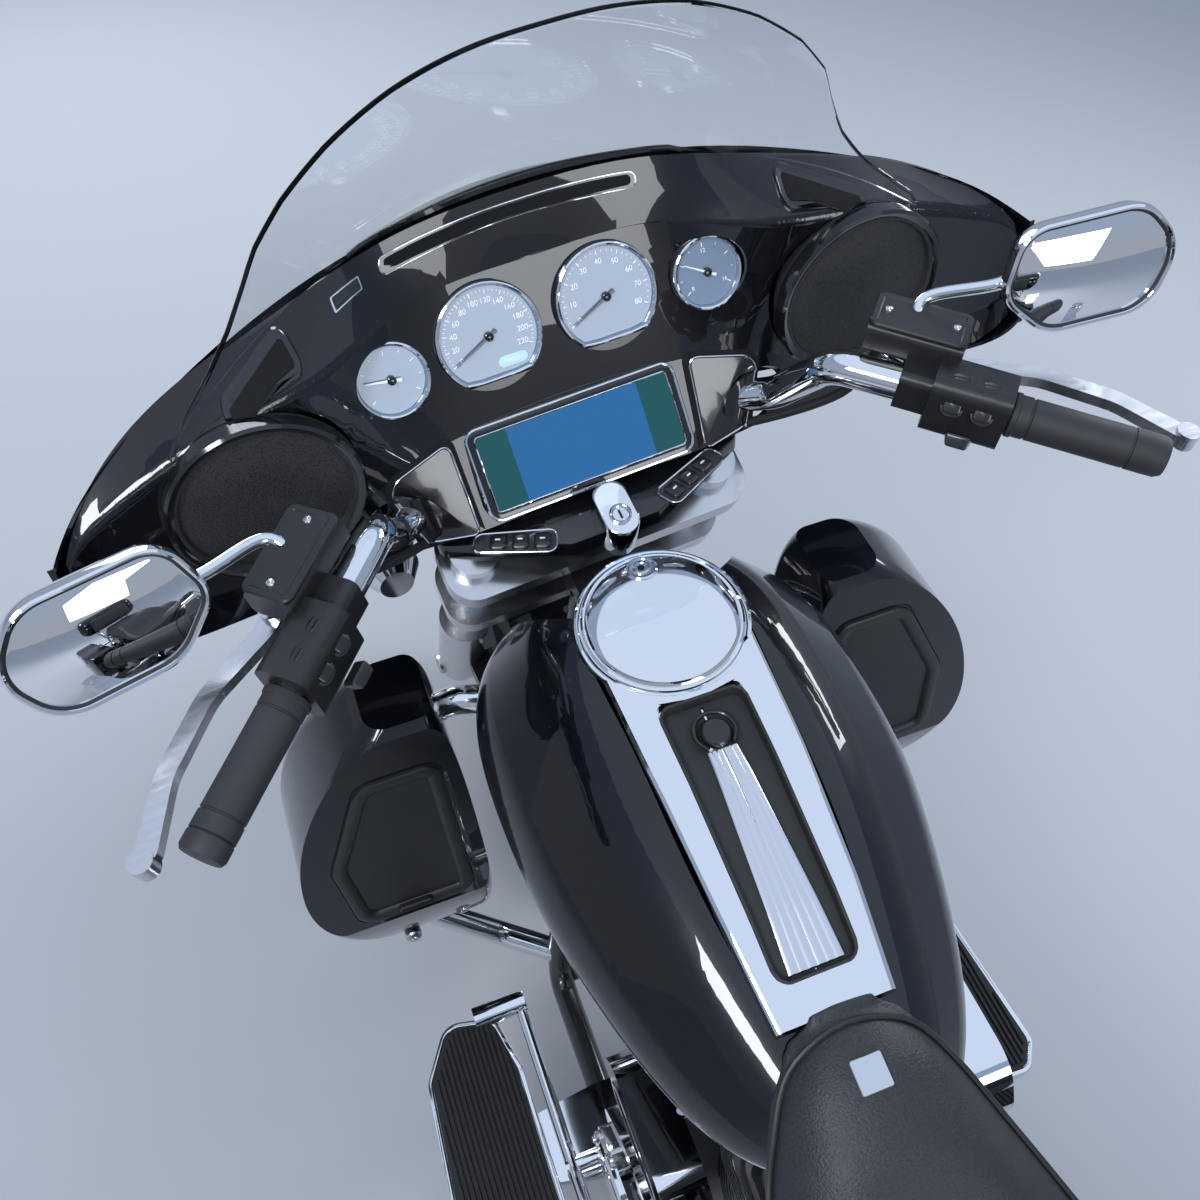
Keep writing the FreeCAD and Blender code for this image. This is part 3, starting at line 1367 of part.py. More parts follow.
@once
def lower_fairing():
    """Left leg shield with an air duct and a glovebox facing the rider."""
    sections = []
    for z, x0, x1, y0, y1 in LOWER_STATIONS:
        points = [(x0, y0), (x1, y0), (x1, y1), (x0, y1)]
        sections.append(rounded(points, [16, 16, 26, 22], top_plane(z)))
    body = loft(sections)
    plane, out = glove_plane(0)
    trim = slab([(100, -400), (500, -400), (500, 400), (100, 400)], 0, plane, out * 200)
    pocket = slab(glove_outline(-0.8), 18, glove_plane(-10)[0], out * 40)
    hollow = slab(glove_outline(10), 14, glove_plane(-76)[0], out * 120)
    body = body.cut([trim, pocket, hollow])
    return largest(body.cut(engine_guard()[0]))


@once
def glove_door():
    """Flat door set flush in its frame, hinged at its lower edge."""
    plane, out = glove_plane(-9.7)
    return slab(glove_outline(0), 18, plane, out * 9.7)


@once
def footboards():
    """Rider's long boards and the passenger's short ones, on brackets."""
    long_line = [(796, 226), (1010, 226), (1078, 240), (1092, 300), (1030, 338), (820, 352), (790, 330)]
    board = slab(long_line, [20, 20, 20, 26, 30, 20, 16], top_plane(292), V(0, 0, 14))
    bracket = slab([(860, 150), (965, 150), (955, 240), (880, 240)], 8, top_plane(278), V(0, 0, 14))
    hanger = box((880, 965), (124, 156), (164, 290))
    small_line = [(372, 226), (520, 226), (536, 300), (512, 330), (392, 330), (366, 300)]
    small = slab(small_line, [14, 14, 20, 16, 16, 20], top_plane(392), V(0, 0, 14))
    post = tube([V(478, 92, 456), V(450, 190, 436), V(450, 280, 386)], 12, 20)
    rider = largest(fuse([board, bracket, hanger]).cut(frame() + engine_covers() + exhaust() + crankcase()))
    second = largest(fuse([small, post]).cut(frame() + swingarm() + exhaust() + side_covers()))
    return both(rider) + both(second)


@once
def foot_controls():
    """Heel-toe shifter on the left and the brake pedal on the right."""
    shaft = rod(V(880, 150, 325), V(880, 214, 325), 9)
    lever = tube([V(760, 206, 370), V(880, 206, 325), V(1060, 206, 372)], 7, 60)
    pads = [rod(V(760, 200, 370), V(760, 262, 370), 13), rod(V(1060, 200, 372), V(1060, 262, 372), 13)]
    left = fuse([shaft, lever] + pads)
    left = largest(left.cut(frame() + engine_covers() + footboards()))
    arm_line = [(868, 312), (984, 318), (1070, 358), (1064, 372), (978, 336), (868, 334)]
    arm = slab(arm_line, [10, 40, 5, 5, 40, 10], side_plane(-212), V(0, 12, 0))
    step = slab([(1044, 361), (1092, 366), (1091, 378), (1043, 373)], 4, side_plane(-262), V(0, 62, 0))
    pedal = fuse([arm, step, rod(V(880, -100, 325), V(880, -214, 325), 8)])
    pedal = largest(pedal.cut(frame() + engine_covers() + footboards() + exhaust()))
    return [left, pedal]


@once
def tail_lamps():
    """Round tail lamp on the fender and signals at each side, on a bar."""
    lamp = turned([(0, -50), (44, -50), (50, 10), (40, 26), (0, 30)], V(-300, 0, 530), V(-1, 0, 0.25))
    bar = rod(V(-326, -150, 470), V(-326, 150, 470), 9)
    signals = [turned([(0, -20), (20, -20), (32, 4), (30, 18), (0, 24)], V(-330, side * 150, 470), V(-1, 0, 0))
               for side in (1, -1)]
    whole = fuse([lamp, bar, rod(V(-326, 0, 470), V(-310, 0, 530), 18)] + signals)
    return [largest(whole.cut(rear_fender() + [saddlebag(), flipped(saddlebag())]))]


STAND_LEG = upright_point(STAND_FOOT + V(0, 0, STAND_R)) - STAND_PIVOT
STAND_AXIS = unit(STAND_LEG.cross(STAND_STOWED))
STAND_SWING = math.degrees(STAND_LEG.getAngle(STAND_STOWED))
STAND_EYE = (17, 14)
STAND_PIN_R = 8


@once
def side_stand():
    """Leg from its pivot eye to a flat foot that lies on the ground."""
    ankle = STAND_PIVOT + STAND_LEG
    leg = rod(STAND_PIVOT, ankle, STAND_R)
    ground = lambda u, w: upright_point(V(u, w, 0))
    x, y = STAND_FOOT.x, STAND_FOOT.y
    outline = [(x - 36, y - 18), (x + 36, y - 18), (x + 36, y + 30), (x - 36, y + 30)]
    pad = slab(outline, 14, ground, upright_point(V(0, 0, 7)))
    ball = Part.makeSphere(STAND_R, ankle)
    eye_r, eye_half = STAND_EYE
    eye = rod(STAND_PIVOT - STAND_AXIS * eye_half, STAND_PIVOT + STAND_AXIS * eye_half, eye_r)
    hole = rod(STAND_PIVOT - STAND_AXIS * 40, STAND_PIVOT + STAND_AXIS * 40, STAND_PIN_R + RUN_GAP)
    return [fuse([leg, pad, ball, eye]).cut(hole)]


@once
def stand_bracket():
    """Forked bracket outside the left cradle tube, with the stand's pin across it."""
    eye_r, eye_half = STAND_EYE
    to_rail = V(0, RAIL_Y, RAIL_Z) - V(0, STAND_PIVOT.y, STAND_PIVOT.z)
    inward = unit(to_rail - STAND_AXIS * to_rail.dot(STAND_AXIS))
    reach = to_rail.Length + 4
    half = eye_half + 9
    plane = tilted_plane(STAND_PIVOT - STAND_AXIS * half, inward, STAND_AXIS.cross(inward))
    block = slab([(-16, -16), (reach, -16), (reach, 16), (-16, 16)], 12, plane, STAND_AXIS * (2 * half))
    room = rod(STAND_PIVOT - STAND_AXIS * (eye_half + 1), STAND_PIVOT + STAND_AXIS * (eye_half + 1), eye_r + 5)
    pin = rod(STAND_PIVOT - STAND_AXIS * (half + 3), STAND_PIVOT + STAND_AXIS * (half + 3), STAND_PIN_R)
    return fuse([block.cut(room), pin])


# Hinge places of the left lids, the fuel door and the left glovebox door
HINGES = {
    "bag_lid_left": V(0, BAG_OUT_Y + 1, BAG_SPLIT_Z),
    "trunk_lid": V(-380, TRUNK_HALF[1] + 1, TRUNK_SPLIT_Z),
    "fuel_door": DOOR_MID - V(DOOR_R + 2.5, 0, 0) + DOOR_UP * 2,
    "glove_door": glove_plane(0)[0](283, 6),
}

# Node: pieces on the upright machine
NODES = {
    "front_tyre": front_tyre,
    "front_wheel": front_wheel,
    "front_discs": front_discs,
    "rear_tyre": rear_tyre,
    "rear_wheel": rear_wheel,
    "rear_disc": rear_disc,
    "fork": fork,
    "handlebar": handlebar,
    "grips": grips,
    "hand_controls": hand_controls,
    "levers": levers,
    "mirrors": mirrors,
    "mirror_glass": mirror_glass,
    "front_fender": front_fender,
    "front_calipers": front_calipers,
    "outer_fairing": outer_fairing,
    "inner_fairing": inner_fairing,
    "gauges": gauges,
    "screen_unit": screen_unit,
    "speakers": speakers,
    "ignition_switch": ignition_switch,
    "windshield": windshield,
    "front_lamps": front_lamps,
    "frame": frame,
    "crankcase": crankcase,
    "cylinders": cylinders,
    "cylinder_heads": cylinder_heads,
    "rocker_covers": rocker_covers,
    "engine_covers": engine_covers,
    "horn_cover": horn_cover,
    "air_cleaner": air_cleaner,
    "exhaust": exhaust,
    "fuel_tank": fuel_tank,
    "tank_console": tank_console,
    "fuel_door": fuel_door,
    "seat": seat,
    "rear_fender": rear_fender,
    "swingarm": swingarm,
    "shocks": shocks,
    "drive_belt": drive_belt,
    "saddlebag_left": lambda: [saddlebag()],
    "saddlebag_right": lambda: [flipped(saddlebag())],
    "bag_lid_left": lambda: [bag_lid()],
    "bag_lid_right": lambda: [flipped(bag_lid())],
    "trunk_base": trunk_base,
    "trunk_lid": trunk_lid,
    "rear_rails": rear_rails,
    "backrest": backrest,
    "side_covers": side_covers,
    "engine_guard": engine_guard,
    "lower_fairing_left": lambda: [lower_fairing()],
    "lower_fairing_right": lambda: [flipped(lower_fairing())],
    "glove_door_left": lambda: [glove_door()],
    "glove_door_right": lambda: [flipped(glove_door())],
    "footboards": footboards,
    "foot_controls": foot_controls,
    "tail_lamps": tail_lamps,
    "side_stand": side_stand,
}


# Nodes that turn with the handlebar
STEERED = ("front_tyre", "front_wheel", "front_discs", "fork", "handlebar", "grips", "hand_controls", "levers",
           "mirrors", "mirror_glass", "front_fender", "front_calipers", "outer_fairing", "inner_fairing", "gauges",
           "screen_unit", "speakers", "ignition_switch", "windshield", "front_lamps")


@once
def parked():
    """Every node as one compound, leaned, with the origin under the box's middle.

    What turns with the bars is first turned to where they rest.
    """
    leaned = {}
    span = FreeCAD.BoundBox()
    for name, maker in NODES.items():
        whole = Part.makeCompound(maker())
        if name in STEERED:
            whole.rotate(STEER_FOOT, STEER_AXIS, STEER_TURN)
        whole.rotate(V(0, 0, 0), V(1, 0, 0), -LEAN)
        leaned[name] = whole
        span.add(whole.optimalBoundingBox(False, False))
    shift = V(-span.Center.x, -span.Center.y, 0)
    for whole in leaned.values():
        whole.translate(shift)
    return leaned, shift


def parked_point(point):
    """Place on the upright machine, carried into the parked one."""
    return lean_point(point) + parked()[1]


def main():
    os.makedirs("parts", exist_ok=True)
    leaned, shift = parked()
    for name, whole in leaned.items():
        whole.exportStep("parts/" + name + ".step")


if __name__ == "__main__":
    main()
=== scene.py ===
import bpy
import bmesh
import json
import math
from mathutils import Matrix, Vector
from mathutils.bvhtree import BVHTree


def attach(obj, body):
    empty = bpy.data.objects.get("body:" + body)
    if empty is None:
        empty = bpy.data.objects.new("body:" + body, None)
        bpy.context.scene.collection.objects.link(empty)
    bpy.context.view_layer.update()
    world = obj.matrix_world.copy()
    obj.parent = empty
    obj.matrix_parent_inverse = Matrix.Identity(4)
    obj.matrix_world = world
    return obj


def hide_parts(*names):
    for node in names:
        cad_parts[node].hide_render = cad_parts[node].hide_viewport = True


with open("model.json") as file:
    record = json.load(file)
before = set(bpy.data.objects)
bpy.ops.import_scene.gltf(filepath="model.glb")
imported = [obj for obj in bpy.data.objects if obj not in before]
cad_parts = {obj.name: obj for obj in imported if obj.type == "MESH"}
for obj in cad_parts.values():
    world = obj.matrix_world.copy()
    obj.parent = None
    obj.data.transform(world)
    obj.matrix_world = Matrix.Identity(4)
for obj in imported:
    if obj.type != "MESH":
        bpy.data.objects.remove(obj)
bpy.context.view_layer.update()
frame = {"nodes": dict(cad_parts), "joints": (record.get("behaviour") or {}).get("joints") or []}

# Where the machine stands
# Added pieces are drawn in millimetres on the upright machine, +X forward and +Y left,
# bars straight ahead, and are then carried to where it leans on its side stand.
hinges = {joint["name"]: joint for joint in frame["joints"]}
rear_hub = Vector(hinges["rear_spin"]["pos_m"])
rear_line = Vector(hinges["rear_spin"]["axis"])
lean_angle = math.atan2(-rear_line.z, rear_line.y)
leaned = Matrix.Rotation(-lean_angle, 4, "X")
REAR_AXLE = Vector((0, 0, 321.39))
FRONT_AXLE = Vector((1625, 0, 319.36))
parked = Matrix.Translation(rear_hub - leaned @ (REAR_AXLE * 0.001)) @ leaned @ Matrix.Scale(0.001, 4)

RAKE = math.radians(26)
STEER_LINE = Vector((-math.sin(RAKE), 0, math.cos(RAKE)))
STEER_FOOT = Vector((1795, 0, 0))
front_line = leaned.inverted() @ Vector(hinges["front_spin"]["axis"])
bar_turn = Matrix.Rotation(math.acos(min(1, front_line.y)), 4, STEER_LINE)
steered = parked @ Matrix.Translation(STEER_FOOT) @ bar_turn @ Matrix.Translation(-STEER_FOOT)
BODY_PLACE = {"steering": steered, "front_wheel_set": steered}

SIDES = ((1, "left"), (-1, "right"))
AHEAD = Vector((1, 0, 0))
REARWARD = Vector((-1, 0, 0))
LEFT = Vector((0, 1, 0))
RIGHT = Vector((0, -1, 0))
UP = Vector((0, 0, 1))
DOWN = Vector((0, 0, -1))


def add(thing):
    bpy.context.scene.collection.objects.link(thing)


def worked_mesh(holder):
    """Mesh of an object in the scene with its modifiers worked in."""
    bpy.context.view_layer.update()
    return bpy.data.meshes.new_from_object(holder.evaluated_get(bpy.context.evaluated_depsgraph_get()))


def dress(mesh, finish):
    """Gives a mesh one finish and smooth faces."""
    mesh.materials.clear()
    mesh.materials.append(finish.material)
    mesh.polygons.foreach_set("use_smooth", [True] * len(mesh.polygons))


def put(name, mesh, body, finish, slot, smooth=35, instead=None):
    """A new piece from an upright mesh, carried into place and riding on a body; edges sharper
    than smooth degrees stay sharp, and instead is the CAD node that the piece replaces."""
    mesh.transform(BODY_PLACE.get(body, parked))
    mesh.name = name
    dress(mesh, finish)
    mesh.set_sharp_from_angle(angle=math.radians(smooth))
    mesh.update()
    piece = bpy.data.objects.new(name, mesh)
    add(piece)
    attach(piece, body)
    if instead:
        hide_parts(instead)


# Finishes
# A wire carries a number or colour through a material's nodes, and a finish is one material
# whose surface is set on its own sockets. Each piece's section names its own finish.
class Wire:
    def __init__(self, finish, socket):
        self.finish = finish
        self.socket = socket

    def combined(self, operation, first, second):
        return self.finish.node("ShaderNodeMath", {"operation": operation}, [first, second])

    def __add__(self, other):
        return self.combined("ADD", self, other)

    def __rsub__(self, other):
        return self.combined("SUBTRACT", other, self)

    def __mul__(self, other):
        return self.combined("MULTIPLY", self, other)

    def __gt__(self, other):
        return self.combined("GREATER_THAN", self, other)

    def __lt__(self, other):
        return self.combined("LESS_THAN", self, other)


class Finish:
    def __init__(self, name, **sockets):
        self.material = bpy.data.materials.new(name)
        self.material.use_nodes = True
        self.tree = self.material.node_tree
        self.shader = self.tree.nodes["Principled BSDF"]
        self.place = self.node("ShaderNodeTexCoord", {}, [], "Object")
        self.set(**sockets)

    def set(self, **sockets):
        for words, value in sockets.items():
            self.feed(self.shader.inputs[words.replace("_", " ")], value)

    def feed(self, socket, value):
        if isinstance(value, Wire):
            self.tree.links.new(value.socket, socket)
        elif socket.type == "RGBA" and len(value) == 3:
            socket.default_value = (*value, 1)
        else:
            socket.default_value = value

    def node(self, kind, settings, inputs, output=0):
        made = self.tree.nodes.new(kind)
        for key, value in settings.items():
            setattr(made, key, value)
        pairs = inputs.items() if isinstance(inputs, dict) else enumerate(inputs)
        for key, value in pairs:
            self.feed(made.inputs[key], value)
        return Wire(self, made.outputs[output])

    def noise(self, scale, detail, where=None):
        return self.node("ShaderNodeTexNoise", {},
                         {"Vector": where or self.place, "Scale": scale, "Detail": detail}, "Fac")

    def cells(self, scale):
        return self.node("ShaderNodeTexVoronoi", {}, {"Vector": self.place, "Scale": scale}, "Distance")

    def stretched(self, x, y, z):
        return self.node("ShaderNodeMapping", {}, {"Vector": self.place, "Scale": (x, y, z)})

    def mix(self, amount, dark, light):
        return self.node("ShaderNodeMix", {"data_type": "RGBA"}, {0: amount, 6: dark, 7: light}, 2)

    def bump(self, height, depth, strength):
        self.set(Normal=self.node("ShaderNodeBump", {},
                                  {"Strength": strength, "Distance": depth, "Height": height}))

    def mottled(self, scale, detail, span, least):
        """Roughness that varies in patches, over a span above its least value."""
        self.set(Roughness=self.noise(scale, detail) * span + least)

    def grained(self, scale, detail, depth, strength):
        """A fine even grain."""
        self.bump(self.noise(scale, detail), depth, strength)

    def paint(self, *names):
        """Gives this finish to whole CAD nodes."""
        for name in names:
            mesh = frame["nodes"][name].data
            mesh.materials.clear()
            mesh.materials.append(self.material)


# Shapes
# Every shape is a lattice of points: turned round an axis, drawn along a line, or stepped up
# from a flat outline. A spot function turns (across, up, out) on a face into a place.
def lattice(rows, loop=False, capped=False):
    """Mesh from closed rows of points; loop joins the last row to the first, capped fills both."""
    width = len(rows[0])
    count = len(rows)
    corners = [point for row in rows for point in row]
    faces = []
    for i in range(count if loop else count - 1):
        a, b = i * width, ((i + 1) % count) * width
        for j in range(width):
            k = (j + 1) % width
            faces.append((a + j, a + k, b + k, b + j))
    if capped:
        faces.append(tuple(reversed(range(width))))
        faces.append(tuple(range((count - 1) * width, count * width)))
    mesh = bpy.data.meshes.new("skin")
    mesh.from_pydata([tuple(p) for p in corners], [], faces)
    shape = bmesh.new()
    shape.from_mesh(mesh)
    bmesh.ops.remove_doubles(shape, verts=shape.verts, dist=1e-4)
    bmesh.ops.recalc_face_normals(shape, faces=shape.faces)
    shape.to_mesh(mesh)
    shape.free()
    return mesh


def turned(profile, base, axis, steps=40):
    """Mesh turned round an axis from corners (radius, height)."""
    turn = UP.rotation_difference(Vector(axis)).to_matrix()
    angles = [math.tau * i / steps for i in range(steps)]
    rows = []
    for r, h in profile:
        r = max(r, 0.001)
        rows.append([Vector(base) + turn @ Vector((r * math.cos(a), r * math.sin(a), h)) for a in angles])
    return lattice(rows)


def on_curve(before, a, b, after, t):
    """Value at share t of the way from a to b, on a smooth curve through all four."""
    return 0.5 * (2 * a + (b - before) * t + (2 * before - 5 * a + 4 * b - after) * t * t
                  + (3 * a - before - 3 * b + after) * t ** 3)


def rope(points, radius, sides=14, smooth=6):
    """Round bar through points on a smooth curve; radius may be one value or one per point."""
    radii = radius if isinstance(radius, list) else [radius] * len(points)
    path = []
    for i in range(len(points) - 1):
        before = points[max(i - 1, 0)]
        a, b = points[i], points[i + 1]
        after = points[min(i + 2, len(points) - 1)]
        for step in range(smooth + (1 if i == len(points) - 2 else 0)):
            t = step / smooth
            path.append((on_curve(before, a, b, after, t), radii[i] + (radii[i + 1] - radii[i]) * t))
    angles = [math.tau * k / sides for k in range(sides)]
    rows = []
    across = None
    for i, (place, r) in enumerate(path):
        along = (path[min(i + 1, len(path) - 1)][0] - path[max(i - 1, 0)][0]).normalized()
        if across is None:
            across = along.orthogonal().normalized()
        across = (across - along * across.dot(along)).normalized()
        other = along.cross(across)
        rows.append([place + (across * math.cos(a) + other * math.sin(a)) * r for a in angles])
    return lattice(rows, capped=True)


def outline(corners, radii, steps=6):
    """Points round a flat outline whose corners are rounded."""
    count = len(corners)
    radii = radii if isinstance(radii, list) else [radii] * count
    points = []
    for i in range(count):
        corner = Vector(corners[i])
        back = Vector(corners[i - 1]) - corner
        onward = Vector(corners[(i + 1) % count]) - corner
        half = back.angle(onward) / 2
        if radii[i] <= 0:
            points.append(corner)
            continue
        reach = min(radii[i] / math.tan(half), back.length * 0.49, onward.length * 0.49)
        radius = reach * math.tan(half)
        centre = corner + (back.normalized() + onward.normalized()).normalized() * (radius / math.sin(half))
        first = corner + back.normalized() * reach - centre
        last = corner + onward.normalized() * reach - centre
        for step in range(steps + 1):
            blend = first.lerp(last, step / steps)
            points.append(centre + blend.normalized() * radius)
    return points


def box(x0, y0, x1, y1, radii, steps=6):
    return outline([(x0, y0), (x1, y0), (x1, y1), (x0, y1)], radii, steps)


def strip(a, b, wide_a, wide_b):
    """Flat outline of a bar from a to b that changes width."""
    a, b = Vector(a), Vector(b)
    side = Vector((-(b - a).y, (b - a).x)).normalized()
    return [a + side * wide_a, a - side * wide_a, b - side * wide_b, b + side * wide_b]


def drawn_in(points, inset):
    """The same outline moved inwards."""
    area = sum(a.cross(b) for a, b in zip(points, points[1:] + points[:1]))
    turn = 1 if area > 0 else -1
    moved = []
    for i, point in enumerate(points):
        along = (points[(i + 1) % len(points)] - points[i - 1]).normalized()
        moved.append(point + Vector((-along.y, along.x)) * inset * turn)
    return moved


def contour(shape, spot, steps, capped=True):
    """Skin through copies of a flat outline, each drawn in and lifted by its step."""
    rows = [[spot(p.x, p.y, lift) for p in drawn_in(shape, inset)] for inset, lift in steps]
    return lattice(rows, capped=capped)


def plate(points, spot, thick, edge, base):
    """A flat piece with softened edges."""
    return contour(points, spot, [(0, base), (0, thick - edge), (edge * 0.3, thick - edge * 0.3),
                                  (edge, thick)])


def merged(meshes):
    """One mesh from several."""
    shape = bmesh.new()
    for mesh in meshes:
        shape.from_mesh(mesh)
    whole = bpy.data.meshes.new("skin")
    bmesh.ops.recalc_face_normals(shape, faces=shape.faces)
    shape.to_mesh(whole)
    shape.free()
    return whole


def on_circle(turn, radius):
    return (math.cos(math.radians(turn)) * radius, math.sin(math.radians(turn)) * radius)


def on_side(point, side):
    """A place drawn for the left, or its mirror image for the right."""
    return Vector((point[0], point[1] * side, point[2]))


def tilted(degrees):
    """Up and out directions of a face that looks to the rear and leans back by an angle."""
    turn = math.radians(degrees)
    return (Vector((math.sin(turn), 0, math.cos(turn))), Vector((-math.cos(turn), 0, math.sin(turn))))


def skin_tree(mesh, body):
    """Search tree of a parked mesh, on the upright machine."""
    back = BODY_PLACE.get(body, parked).inverted()
    return BVHTree.FromPolygons([back @ v.co for v in mesh.vertices],
                                [tuple(p.vertices) for p in mesh.polygons])


def surface(name, body):
    """Search tree of a CAD node's skin on the upright machine."""
    return skin_tree(frame["nodes"][name].data, body)


def met(tree, start, aim):
    """Where a line meets a skin and which way the skin faces there, or the nearest place."""
    place, normal = tree.ray_cast(start, aim)[:2]
    if place is None:
        place, normal = tree.find_nearest(start + aim * 300)[:2]
    return place, normal if normal.dot(aim) < 0 else -normal


# Tyres
# Two road tyres of black rubber, moulded in one with their tread: a smooth band down the
# middle, slanting grooves to each shoulder and a thin ring on each sidewall. Pressed on the rims.
tyre_rubber = Finish("tyre rubber")
dust = tyre_rubber.noise(60, 5)
tyre_rubber.set(Base_Color=tyre_rubber.mix(dust, (0.012, 0.012, 0.013), (0.035, 0.034, 0.033)),
                Roughness=dust * 0.25 + 0.62)
tyre_rubber.grained(900, 2, 0.0004, 0.5)
TYRE_R = 320
TREAD_SIDE = math.radians(100)
TREAD_STEPS = 24
SPOKES = 432
GROOVE_EVERY = 12
GROOVE_DEEP = 3.2
NO_TREAD = 9


def tyre(name, axle, crown, bead_r, bead_half, body, node):
    """Tread and sidewalls as (radius, offset, turn) corners, spun round the axle."""
    ring = TYRE_R - crown
    profile = []
    for i in range(2 * TREAD_STEPS + 1):
        turn = TREAD_SIDE * (i / TREAD_STEPS - 1)
        profile.append((ring + crown * math.cos(turn), crown * math.sin(turn), turn))
    tread_corners = len(profile)
    shoulder = profile[-1]
    for part in (0.3, 0.34, 0.38, 0.7, 1):
        lift = 1.5 if part == 0.34 else 0
        profile.append((shoulder[0] + (bead_r + 8 - shoulder[0]) * part,
                        shoulder[1] + (bead_half - shoulder[1]) * part + lift, NO_TREAD))
    mirror = [(r, -y, turn) for r, y, turn in reversed(profile[tread_corners:])]
    profile = [(bead_r, -bead_half, NO_TREAD)] + mirror + profile + [(bead_r, bead_half, NO_TREAD)]
    rows = []
    for i in range(SPOKES):
        around = math.tau * i / SPOKES
        row = []
        for r, y, turn in profile:
            sweep = abs(turn) / TREAD_SIDE
            phase = (i / GROOVE_EVERY + sweep * 1.6 + (0.5 if turn > 0 else 0)) % 1
            if 0.16 < sweep < 0.82 and phase < 0.17:
                r = r - GROOVE_DEEP
            row.append(axle + Vector((math.cos(around) * r, y, math.sin(around) * r)))
        rows.append(row)
    put(name, lattice(rows, loop=True), body, tyre_rubber, "tyre_rubber", smooth=30, instead=node)


tyre("front_tread", FRONT_AXLE, 65, 218, 50, "front_wheel_set", "front_tyre")
tyre("rear_tread", REAR_AXLE, 90, 205, 63, "rear_wheel_set", "rear_tyre")


# Wheels and brakes
# Wheels cast in one from aluminium and finished gloss black, ground steel discs on their hubs
# held by dome bolts, and black calipers bolted to the sliders.
wheel_black = Finish("wheel black", Base_Color=(0.012, 0.012, 0.013), Metallic=0.3, Roughness=0.22,
                     Coat_Weight=0.8, Coat_Roughness=0.06)
wheel_black.grained(420, 2, 0.0001, 0.25)
wheel_black.paint("front_wheel", "rear_wheel")

disc_steel = Finish("disc steel", Metallic=1.0)
lathe_marks = disc_steel.noise(30, 6, disc_steel.stretched(40, 1, 40))
disc_steel.set(Roughness=lathe_marks * 0.3 + 0.14,
               Base_Color=disc_steel.mix(lathe_marks, (0.42, 0.42, 0.43), (0.62, 0.62, 0.63)))
disc_steel.paint("front_discs", "rear_disc")

bolt_steel = Finish("bolt steel", Metallic=1.0, Base_Color=(0.6, 0.6, 0.61))
bolt_steel.mottled(200, 2, 0.2, 0.15)

caliper_black = Finish("caliper black", Base_Color=(0.02, 0.02, 0.021), Roughness=0.42, Coat_Weight=0.3)
caliper_black.grained(700, 2, 0.0002, 0.4)
caliper_black.paint("front_calipers", "swingarm")


# Bolts
# One bolt head is spread over (place, direction) spots by a node tree.
def hardware_tree(name):
    """Places one bolt on every point of a mesh, turned to the point's facing."""
    tree = bpy.data.node_groups.new(name, "GeometryNodeTree")
    face = tree.interface
    for word, kind in (("Points", "Geometry"), ("Bolt", "Object"), ("Size", "Float"),
                       ("Finish", "Material")):
        face.new_socket(word, in_out="INPUT", socket_type="NodeSocket" + kind)
    face.new_socket("Placed", in_out="OUTPUT", socket_type="NodeSocketGeometry")
    make = tree.nodes.new
    entry, leave = make("NodeGroupInput"), make("NodeGroupOutput")
    bolt, facing = make("GeometryNodeObjectInfo"), make("FunctionNodeAlignRotationToVector")
    direction, spread = make("GeometryNodeInputNamedAttribute"), make("GeometryNodeInstanceOnPoints")
    real, coat = make("GeometryNodeRealizeInstances"), make("GeometryNodeSetMaterial")
    facing.axis = "Z"
    direction.data_type = "FLOAT_VECTOR"
    direction.inputs["Name"].default_value = "facing"
    for source, out, target, into in ((entry, "Points", spread, "Points"), (entry, "Bolt", bolt, "Object"),
                                      (bolt, "Geometry", spread, "Instance"),
                                      (direction, "Attribute", facing, "Vector"),
                                      (facing, "Rotation", spread, "Rotation"),
                                      (entry, "Size", spread, "Scale"),
                                      (spread, "Instances", real, "Geometry"),
                                      (real, "Geometry", coat, "Geometry"),
                                      (entry, "Finish", coat, "Material"),
                                      (coat, "Geometry", leave, "Placed")):
        tree.links.new(source.outputs[out], target.inputs[into])
    return tree


bolt_tree = hardware_tree("bolts on points")
DOME_HEAD = [(0, 0), (5.2, 0), (5.2, 2), (4.2, 3.6), (2.4, 4.3), (2.3, 2.2), (0, 2.2)]
NUT = [(0, 0), (17, 0), (17, 7), (14, 10), (0, 10)]
PAN_HEAD = [(0, -6), (9, -6), (9, 2), (7.4, 4), (3.2, 4.6), (3, 2.6), (0, 2.6)]


def bolts(name, spots, body, slot, size, head=DOME_HEAD):
    """One piece of bolt heads at (place, direction) spots."""
    pattern = bpy.data.objects.new(name + "_pattern", turned(head, (0, 0, 0), UP, 16))
    points = bpy.data.meshes.new(name + "_spots")
    points.from_pydata([tuple(place) for place, direction in spots], [], [])
    facing = points.attributes.new("facing", "FLOAT_VECTOR", "POINT")
    for number, (place, direction) in enumerate(spots):
        facing.data[number].vector = Vector(direction).normalized()
    holder = bpy.data.objects.new(name, points)
    add(pattern)
    add(holder)
    spread = holder.modifiers.new("bolts", "NODES")
    spread.node_group = bolt_tree
    names = {item.name: item.identifier for item in bolt_tree.interface.items_tree
             if item.in_out == "INPUT"}
    spread[names["Bolt"]] = pattern
    spread[names["Size"]] = float(size)
    spread[names["Finish"]] = bolt_steel.material
    made = worked_mesh(holder)
    bpy.data.objects.remove(holder)
    bpy.data.objects.remove(pattern)
    put(name, made, body, bolt_steel, slot)


